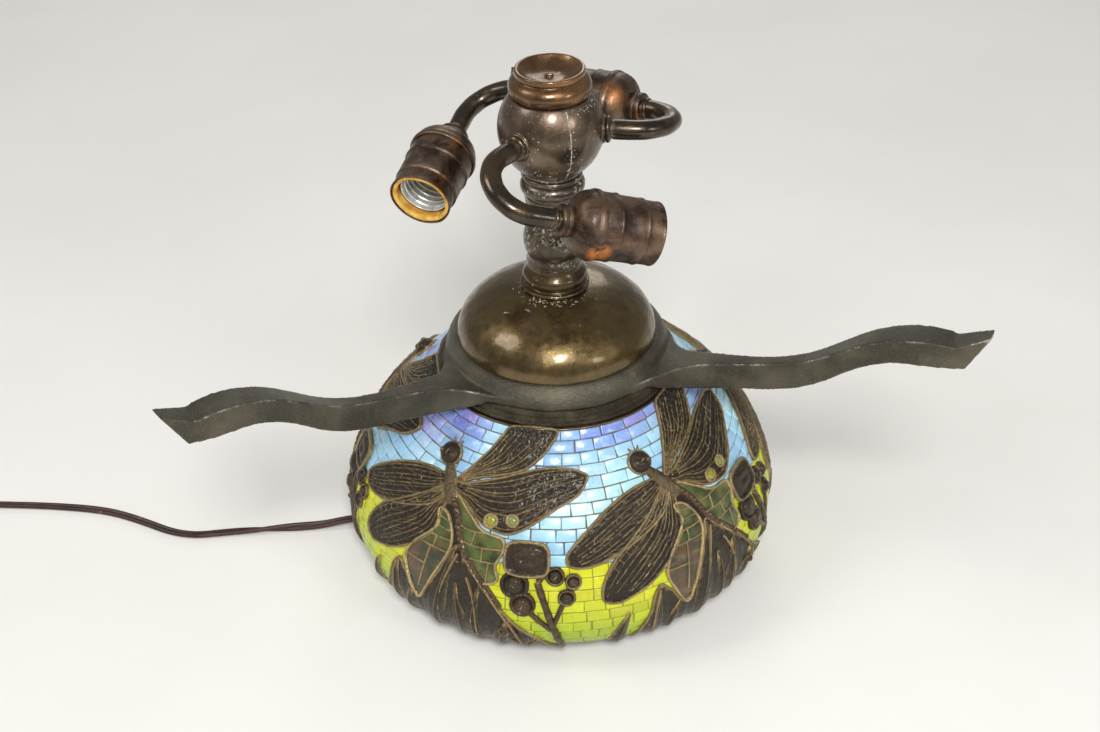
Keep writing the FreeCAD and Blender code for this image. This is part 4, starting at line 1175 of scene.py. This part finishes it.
def scratch_mask(g, start, end, width):
    """1 within a hair's width of the straight line between two places (mm)."""
    start, end = Vector(start) * MM, Vector(end) * MM
    along = end - start
    off = g.vector("SUBTRACT", g.place, start)
    share = g.vector("DOT_PRODUCT", off, along / along.length ** 2, "Value")
    share = g.math("MINIMUM", g.math("MAXIMUM", share, 0.0), 1.0)
    part = g.node("ShaderNodeVectorMath", [(0, along), ("Scale", share)], operation="SCALE").outputs[0]
    waver = g.times(g.math("SUBTRACT", g.noise(130, 3), 0.5), 0.0016)
    gap = g.math("ADD", g.vector("DISTANCE", off, part, "Value"), waver)
    return g.step(gap, width * MM * 0.5, width * MM * 1.3, 1.0, 0.0)


PIPE_R = 5.1
DOME_R, DOME_Z, DOME_RISE, DOME_WALL = 59.0, 152.6, 33.0, 1.2
# scratches on the dome: from, to, width
SCRATCHES = [((-17, -24, 181), (-4, -35, 178), 0.8), ((-13, -28, 180), (-11, -36, 177), 0.6),
             ((-30, -22, 178), (-12, -28, 180), 0.5), ((8, -27, 180), (13, -36, 177), 0.7),
             ((-38, -10, 176), (-34, -24, 175), 0.4), ((16, -24, 181), (10, -40, 175), 0.5)]


def dome_line(inset, start, end):
    return [((DOME_R - inset) * math.cos(a), DOME_Z + (DOME_RISE - inset) * math.sin(a))
            for a in np.linspace(start, end, 60)]


def add_dome():
    """Spun dome with faint lathe rings."""
    outer = [(r - 0.05 * (k % 7 == 3), z) for k, (r, z) in enumerate(dome_line(0, 0.0, 1.484))]
    shape = lathe(outer + dome_line(DOME_WALL, 1.482, 0.0), 256, wobble=0.3, ease=0.05)
    material = bronze("dome_bronze", "57482d", "725f3b", "8a744a", 0.22, 0.06, 0.85, SCRATCHES)
    add_mesh("dome_spun", *shape, material, slot="dome_bronze", replaces=("dome_cover",), sharp=50)


STEM_PIECES = {
    "stem_flange": [(PIPE_R, 186.4), (16.5, 186.4), (18.2, 184.1), ((20.2, 184.9), (18.6, 186.6)),
                    (17.3, 187.4), ((18.9, 191.3), (17.2, 195)), (15.6, 197.4), (15.2, 200), (PIPE_R, 200)],
    "stem_column": [(PIPE_R, 200), (15.2, 200), (16.4, 201.2), ((15.5, 204.2), (16.2, 208)),
                    ((17.7, 214.5), (16.4, 221)), (14.2, 225), ((12.9, 231), (13.4, 237)), (15.2, 240.5),
                    (15.2, 243), (PIPE_R, 243)],
    "stem_collar": [(PIPE_R, 243), (14.6, 243), (14.6, 245.2), (16.3, 245.8), ((18.3, 249.7), (16.5, 253.2)),
                    (15.2, 253.8), ((16.9, 255.6), (15.2, 257.4)), (16.1, 258), (16.1, 259.3),
                    (PIPE_R, 259.3)],
    "cluster_cap": [(0, 301), (17.4, 301), (17.4, 304), (20.6, 304), ((22.8, 309.3), (19.4, 314.4)),
                    (18.4, 315), (19.2, 316), (19.2, 318.3), (18.6, 319), (17.4, 319),
                    ((12, 314.9), (2.0, 313.6)), ((1.7, 314.4), (0.7, 314.8)), (0, 314.8)]}
# dark, light and worn tones, roughness and dirt
STEM_LOOKS = {"stem_flange": ("453721", "635132", "77603c", 0.28, 0.2),
              "stem_column": ("42382e", "6a5b4a", "856a4c", 0.34, 0.25),
              "stem_collar": ("4c443b", "766a5d", "8d7255", 0.28, 0.22),
              "cluster_cap": ("5f462e", "8b6640", "bd8c55", 0.22, 0.08)}
BALL_Z, BALL_R = 284.1, 29.5
ARM_AZIMUTHS = [109.0, 231.6, 351.6]
ARM_SWIVELS = [66.6, 60.7, 79.7]


def add_stem():
    for name, steps in STEM_PIECES.items():
        shape = lathe(steps, 128, wobble=0.35, seed=len(name), ease=0.35)
        add_mesh(name + "_turned", *shape, bronze(name + "_bronze", *STEM_LOOKS[name]), slot="stem_bronze",
                 replaces=(name,), sharp=50)


def add_ball():
    """Cast ball with its bosses, as the CAD has it."""
    cast = remeshed("cluster_ball", "cluster_ball_cast", 0.00055, 4)
    add_piece("cluster_ball_cast", cast, bronze("ball_bronze", "544538", "7b6955", "93795c", 0.26, 0.16),
              slot="stem_bronze", replaces=("cluster_ball",), sharp=60)


# the seam's stretches: azimuth, from and to in radians up the ball; they stop short of arm 1's boss
SEAMS = [(-69, -0.92, 0.7), (111, -0.92, -0.36), (111, 0.36, 0.7)]
# dirt on the ball: its middle and spread (azimuth, elevation in degrees), and how many grains
CRUSTS = [((-40, 38), (22, 2.5), 60), ((-150, 36), (50, 3), 40), ((-112, -2), (5, 16), 40),
          ((-69, 0), (3, 28), 50), ((-90, -36), (60, 4), 50), ((60, 30), (80, 12), 30)]
BOSS_REACH = 0.32       # radians round an arm's axis that the dirt keeps clear of
DOME_GRAINS = 90


def add_dirt():
    """Foundry seam and crusts of old dirt on the ball, and grains on the dome round the stem's foot."""
    parts = Parts()
    r = BALL_R - 0.1
    for azimuth, low, high in SEAMS:
        a = math.radians(azimuth)
        line = [(r * math.cos(t) * math.cos(a), r * math.cos(t) * math.sin(a), BALL_Z + r * math.sin(t))
                for t in np.linspace(low, high, int((high - low) * 37))]
        line = np.array(line) * MM
        rng = random.Random(azimuth)
        sizes = [0.2 + rng.uniform(-0.12, 0.16) for _ in line]
        ups = line - np.array([0, 0, BALL_Z]) * MM
        parts.add(*sweep(line, ups, lambda k: half_round(0.55 + sizes[k], sizes[k])))
    rng = random.Random(12)
    for where, spread, count in CRUSTS:
        for _ in range(count):
            azimuth, up = [math.radians(where[k] + rng.gauss(0, spread[k])) for k in (0, 1)]
            offs = [(azimuth - math.radians(arm) + math.pi) % math.tau - math.pi for arm in ARM_AZIMUTHS]
            if min(math.hypot(off, up) for off in offs) < BOSS_REACH or abs(BALL_R * math.sin(up)) >= 19:
                continue
            out = Vector((math.cos(azimuth) * math.cos(up), math.sin(azimuth) * math.cos(up), math.sin(up)))
            parts.add(*crumb(Vector((0, 0, BALL_Z)) + out * BALL_R, out, rng.uniform(0.1, 0.42), rng))
    for _ in range(DOME_GRAINS):
        azimuth = math.radians(rng.gauss(-95, 45))
        r = 19.5 + abs(rng.gauss(0, 3.2))
        out = Vector((math.cos(azimuth), math.sin(azimuth), 0))
        z = DOME_RISE * math.sqrt(1 - (r / DOME_R) ** 2)
        normal = (out * r / DOME_R ** 2 + UP * z / DOME_RISE ** 2).normalized()
        parts.add(*crumb(out * r + UP * (DOME_Z + z), normal, rng.uniform(0.12, 0.5), rng))
    g = Graph("crust")
    g.done(Base_Color=g.over("8a8378", "d3ccbf", g.noise(600, 4), 0.4, 0.7), Roughness=0.8,
           Normal=g.bump(g.noise(1500, 3), 0.0002))
    parts.make("ball_seam_and_crust", g.material, slot="stem_bronze", sharp=180)


def crumb(place, normal, size, rng):
    """Small uneven lump lying on a surface."""
    side = UP.cross(normal).normalized()
    other = normal.cross(side)
    points = []
    for reach, lift in ((1.0, -0.3), (0.9, 0.18), (0.5, 0.34)):
        for a in (k * math.tau / 8 for k in range(8)):
            r = size * reach * rng.uniform(0.75, 1.2)
            spot = place + side * r * math.cos(a) * 1.3 + other * r * math.sin(a)
            points.append(spot + normal * lift * size)
    points.append(place + normal * 0.4 * size)
    tip = [(16 + k, 16 + (k + 1) % 8, 24) for k in range(8)]
    faces = ring_faces(3, 8) + tip + [tuple(reversed(range(8)))]
    return np.array([tuple(p) for p in points]) * MM, faces


# ---- socket arms -------------------------------------------------------------------------------
BOSS_X, BEND_X, BEND_R, TUBE_R = 30.0, 43.2, 21.0, 5.5
BENDS = [math.radians(angle) for angle in (139.0, 139.0, 158.0)]
TUBE_ENDS = [12.9, 12.9, 3.5]
COLLAR_IN, COLLAR_OUT = BOSS_X + 0.2, BOSS_X + 2.8
MOUTH = 55.4
# each shell's dents: turn round the socket, distance from the tube's end, reach, depth
DENTS = [[(4.1, 48, 3.2, 0.9), (1.0, 38, 6, 0.5)],
         [(5.2, 50.5, 2.6, 1.3), (5.6, 41, 6, 0.5), (2.0, 36, 5, 0.5)],
         [(0.4, 47, 4, 0.8), (3.3, 40, 5, 0.5)]]
SWIVEL = Matrix.Rotation(math.radians(90), 4, "Y")      # takes a shape turned about +Z to the swivel's axis


def arm_matrix(k):
    around = Matrix.Rotation(math.radians(ARM_AZIMUTHS[k]), 4, "Z")
    swivel = Matrix.Rotation(math.radians(ARM_SWIVELS[k]), 4, "X")
    return Matrix.Translation((0, 0, BALL_Z * MM)) @ around @ swivel


def bend_place(t):
    """Middle of the tube at an angle round its bend."""
    return Vector((BEND_X + BEND_R * math.sin(t), 0, -BEND_R * (1 - math.cos(t))))


def straight_run(k):
    """The way the tube runs after its bend."""
    return Vector((math.cos(BENDS[k]), 0, -math.sin(BENDS[k])))


def tip_matrix(k):
    """Takes a shape turned about +Z to the tube's end, pointing along it."""
    run = straight_run(k)
    turn = UP.rotation_difference(run).to_matrix().to_4x4()
    return Matrix.Translation((bend_place(BENDS[k]) + run * TUBE_ENDS[k]) * MM) @ turn


def arm_tube(k):
    """Bent tube with a slight flattening on the inside of its bend, and a bead before the socket."""
    tip = tip_matrix(k)
    path = [Vector((x, 0, 0)) for x in np.linspace(COLLAR_OUT, BEND_X, 6)]
    path += [bend_place(t) for t in np.linspace(0, BENDS[k], 44)[1:]]
    path += [bend_place(BENDS[k]) + straight_run(k) * d for d in np.linspace(0, TUBE_ENDS[k], 6)[1:]]
    circle = np.linspace(0, math.tau, 40, endpoint=False)
    last = len(path) - 1

    def ring(j):
        radius = TUBE_R - (0.5 if j in (0, last) else 0)
        squeeze = 0.04 * math.sin(math.pi * within((j - 5) / 44, 0, 1))
        swell = 1 + 0.012 * math.sin(j * 0.7)
        return np.column_stack([radius * swell * (1 + squeeze) * np.cos(circle),
                                radius * swell * (1 - squeeze) * np.sin(circle)]) * MM
    parts = Parts()
    parts.add(*sweep([tuple(p * MM) for p in path], np.tile((0.0, 1.0, 0.0), (last + 1, 1)), ring))
    parts.add(*lathe([(4.6, -2.6), (5.6, -2.6), ((6.5, -1.5), (5.6, -0.4)), (4.6, -0.4)], 48, tip))
    parts.add(*lathe([(3.6, -1), (4.98, -1), (4.98, 9), (3.6, 9)], 40, tip))
    thread = [(4.96 if j % 2 else 4.6, 19.8 + j * 0.5) for j in range(22)]
    thread = [(3.6, 19.5), (4.6, 19.5)] + thread + [(4.9, COLLAR_OUT + 0.6), (3.6, COLLAR_OUT + 0.6)]
    parts.add(*lathe(thread, 40, SWIVEL, ease=0.05))
    return np.vstack(parts.points), parts.faces


def collar():
    foot, top = COLLAR_IN, COLLAR_OUT + 0.1
    return lathe([(5.06, foot), (6.9, foot), ((7.5, foot + 1.2), (6.9, COLLAR_OUT - 0.4)), (6.3, top),
                  (5.06, top)],
                 48, SWIVEL)


def socket_cap(k):
    """Spun cap that widens from the tube to the shell."""
    return lathe([(5.02, 0.6), (7.6, 0.6), ((8.7, 1.4), (8.7, 2.6)), (8.7, 3.6), (8.45, 3.9), (8.45, 4.4),
                  (8.7, 4.7), (8.7, 6.2), (8.0, 7.4), ((15.4, 10.6), (18.4, 17.2)),
                  ((19.3, 19.3), (18.9, 21.4)), (18.3, 21.4), (18.3, 17.6), ((14.6, 11.6), (7.4, 8.4)),
                  (5.02, 8.4)], 96, tip_matrix(k), wobble=0.2, seed=2)


def socket_shell(k):
    """Beaded shell, its wall pushed in round each dent."""
    steps = [(17.6, 18.4), (18.2, 18.4), (18.2, 22), (18.2, 26), (18.2, 29.6), (18.45, 30.0), (18.45, 30.8),
             (17.7, 31.6)]
    steps += [(17.6, z) for z in np.linspace(33, 44.6, 8)] + [(17.85, 45.2), (17.85, 46.0), (17.05, 46.9)]
    steps += [(17.05 + 0.02 * j, z) for j, z in enumerate(np.linspace(48, 54, 6))]
    steps += [(17.45, 54.7), (17.45, MOUTH), (16.75, MOUTH)]
    steps += [(16.6, z) for z in np.linspace(54, 47.4, 6)] + [(16.9, 45.4)]
    steps += [(17.0, z) for z in np.linspace(44, 32, 6)] + [(17.6, 30)]
    points, faces = lathe(steps, 120, wobble=0.35, seed=k * 5.0, ease=0.2)
    for turn, up, reach, depth in DENTS[k]:
        spot = np.array([17.6 * math.cos(turn), 17.6 * math.sin(turn), up]) * MM
        gap = np.linalg.norm(points - spot, axis=1) / MM
        push = -np.array([math.cos(turn), math.sin(turn), 0])
        points += push * (depth * np.exp(-(gap / reach) ** 2))[:, None] * MM
    return moved(points, tip_matrix(k)), faces


def screw_shell(k):
    """Thin sleeve rolled into a lamp thread."""
    pitch, low, high, segments = 3.63, 27.0, 49.5, 96
    rows = np.arange(low, high + 0.01, 0.3)
    points = []
    for wall, heights in ((0.0, rows), (0.4, rows[::-1])):
        for z in heights:
            ease = min(1.0, (high - z) / 2.0, (z - low) / 2.0)
            for a in (j * math.tau / segments for j in range(segments)):
                groove = 0.55 * ease * max(0.0, math.cos(math.tau * z / pitch - a)) ** 1.5
                r = 13.05 + wall - groove + 0.3 * (1 - ease)
                points.append((r * math.cos(a), r * math.sin(a), z))
    faces = ring_faces(2 * len(rows), segments, closed=True, flip=True)
    return moved(np.array(points) * MM, tip_matrix(k)), faces


def liner(k):
    """Rolled fibre sleeve, thicker at the mouth."""
    return lathe([(15.3, 17), (16.35, 17), (16.35, MOUTH - 0.7), (16.1, MOUTH - 0.4), (14.4, MOUTH - 0.6),
                  (14.1, MOUTH - 1.4), (14.3, MOUTH - 3.4), (15.3, MOUTH - 4.2)], 96, tip_matrix(k),
                 wobble=0.3, seed=8)


def add_arms():
    tube = bronze("tube_brass", "322c25", "584937", "8f6d49", 0.2, 0.05)
    ring = bronze("collar_brass", "3b342c", "655442", "8e704d", 0.26)
    brass, fibre, metal = socket_material(), fibre_material(), screw_material()
    for k in range(3):
        tag = "_%d" % (k + 1)
        for name, shape, material, slot, node, sharp in (
                ("arm_tube", arm_tube(k), tube, "tube_brass", "socket_arm", 45),
                ("arm_collar_ring", collar(), ring, "tube_brass", "arm_collar", 45),
                ("socket_bell", socket_cap(k), brass, "socket_brass", "socket_cap", 45),
                ("socket_barrel", socket_shell(k), brass, "socket_brass", "socket_shell", 35),
                ("socket_fibre", liner(k), fibre, "fibre", "socket_liner", 45),
                ("screw_sleeve", screw_shell(k), metal, "screw_shell", "screw_shell", 180)):
            add_mesh(name + tag, moved(shape[0], arm_matrix(k)), shape[1], material, body="arm" + tag,
                     slot=slot, replaces=(node + tag,), sharp=sharp)


COPPER_PATCH = (0.0228, -0.0715, 0.248)     # middle of the bare patch on the front lampholder, metres


def socket_material():
    """Old lacquered brass gone brown, with copper-coloured patches and bright rubs."""
    g = Graph("socket_brass")
    colour = g.over("392c25", "7a6350", g.noise(60, 5, 0.62, None, 0.8), 0.34, 0.68)
    colour = g.over(colour, "8e5c34", g.noise(48, 4, 0.6), 0.58, 0.68, 0.75)
    colour = g.over(colour, "86766a", g.noise(430, 5, 0.7), 0.58, 0.72, 0.6)
    colour = g.over(colour, "150f0c", g.noise(300, 4, 0.7), 0.68, 0.78, 0.8)
    patch = g.step(g.vector("DISTANCE", g.place, COPPER_PATCH, "Value"), 0.004, 0.0085, 1, 0)
    colour = g.mix(g.times(patch, g.step(g.noise(170, 4), 0.36, 0.5)), colour, "c87a3c")
    edges = g.times(g.worn(0.52, 0.59), g.step(g.noise(150, 3), 0.35, 0.6))
    bump = g.bump(g.noise(1000, 4, 0.7), 0.0003, 0.7, g.bump(g.noise(200, 3), 0.0006, 0.4))
    return g.done(Base_Color=g.mix(edges, colour, "9c8060"),
                  Roughness=g.step(g.noise(260, 4), 0.3, 0.7, 0.3, 0.52), Metallic=0.85, Normal=bump,
                  Coat_Weight=0.15, Coat_Roughness=0.2)


def fibre_material():
    g = Graph("fibre")
    colour = g.over("c88a34", "e7bf5d", g.noise(200, 4), 0.35, 0.7)
    colour = g.over(colour, "512e16", g.noise(420, 4), 0.6, 0.75, 0.5)
    return g.done(Base_Color=colour, Roughness=0.6, Normal=g.bump(g.noise(1500, 3), 0.00012))


def screw_material():
    g = Graph("screw_shell")
    colour = g.over("eef0ee", "c4c8c4", g.noise(260, 4), 0.4, 0.7)
    colour = g.over(colour, "8a8274", g.noise(500, 5), 0.62, 0.74, 0.5)
    return g.done(Base_Color=colour, Metallic=0.55, Roughness=g.step(g.noise(300, 3), 0.3, 0.7, 0.26, 0.4),
                  Normal=g.bump(g.noise(900, 3), 0.00008))


# ---- CAD pieces that stay as they are, and the floor -------------------------------------------
def simple(name, dark, light, roughness, metallic, grain=400, depth=0.0002, fleck=None):
    """Clouded colour with flecks, for pieces that are hardly seen."""
    g = Graph(name)
    field = g.noise(grain, 4, 0.65)
    colour = g.over(dark, light, g.noise(grain / 6, 3), 0.35, 0.7)
    colour = g.over(colour, fleck or blend(rgb(light), (1, 1, 1), 0.25), field, 0.6, 0.75, 0.5)
    return g.done(Base_Color=colour, Metallic=metallic,
                  Roughness=g.step(field, 0.3, 0.7, roughness, roughness + 0.15), Normal=g.bump(field, depth))


def dress_cad_nodes():
    """Node materials for the CAD pieces that stay as they are."""
    brass = simple("contact_brass", "a8813c", "c9a35a", 0.25, 1.0)
    steel = simple("steel", "6f7072", "93959a", 0.3, 1.0, fleck="5a4632")
    insulator = simple("insulator", "5e4a38", "8a745c", 0.5, 0.0, 600)
    looks = {"base_plate": simple("steel_plate", "2e2c2a", "47433e", 0.5, 0.7, 250, fleck="6b4a30"),
             "felt_pad": simple("felt", "24402c", "345a3d", 0.95, 0.0, 900, 0.0006, "567a5c"),
             "base_screws": steel, "threaded_pipe": steel, "pipe_locknuts": steel,
             "body_shell": simple("vessel_metal", "4a3a22", "6b5431", 0.45, 0.8, 200),
             "mains_lead": simple("lead_brown", "2a1712", "46291f", 0.4, 0.0, 900),
             "wire_nuts": simple("wire_nut", "b8511c", "d06a2c", 0.4, 0.0, 500),
             "plug_blades": simple("blade_brass", "b3944f", "d3b873", 0.22, 1.0, 300)}
    for k in (1, 2, 3):
        looks["arm_locknut_%d" % k] = looks["centre_contact_%d" % k] = brass
        looks["socket_core_%d" % k] = insulator
    for node, material in looks.items():
        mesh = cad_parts[node].data
        if not mesh.materials:
            mesh.materials.append(material)
        for k in range(len(mesh.materials)):
            mesh.materials[k] = material


def add_floor():
    g = Graph("floor")
    g.done(Base_Color=g.over("f1efe9", "f6f4ef", g.noise(3, 4), 0.3, 0.7), Roughness=0.9,
           Normal=g.bump(g.noise(9, 2), 0.004, 0.4))
    mesh = bpy.data.meshes.new("floor")
    mesh.from_pydata([(-4, -4, 0), (4, -4, 0), (4, 4, 0), (-4, 4, 0)], [], [(0, 1, 2, 3)])
    mesh.materials.append(g.material)
    add_object("floor", mesh)


add_camera()
add_cord()
add_floor()
add_lights()
add_grout()
add_mosaic("mosaic_sky", LIME_ALONG, TOP_ALONG, sky_tint, glass_material("blue_glass", "dcefee", 0.4),
           "blue_glass", 21)
add_mosaic("mosaic_lime", RIM_ALONG, LIME_ALONG, lime_tint, glass_material("green_glass", "d8d860", 0.25),
           "green_glass", 22)
add_castings()
add_neck_came()
add_leaf_glass()
add_jewels()
add_rims()
add_support()
add_dome()
add_stem()
add_ball()
add_dirt()
add_arms()
dress_cad_nodes()
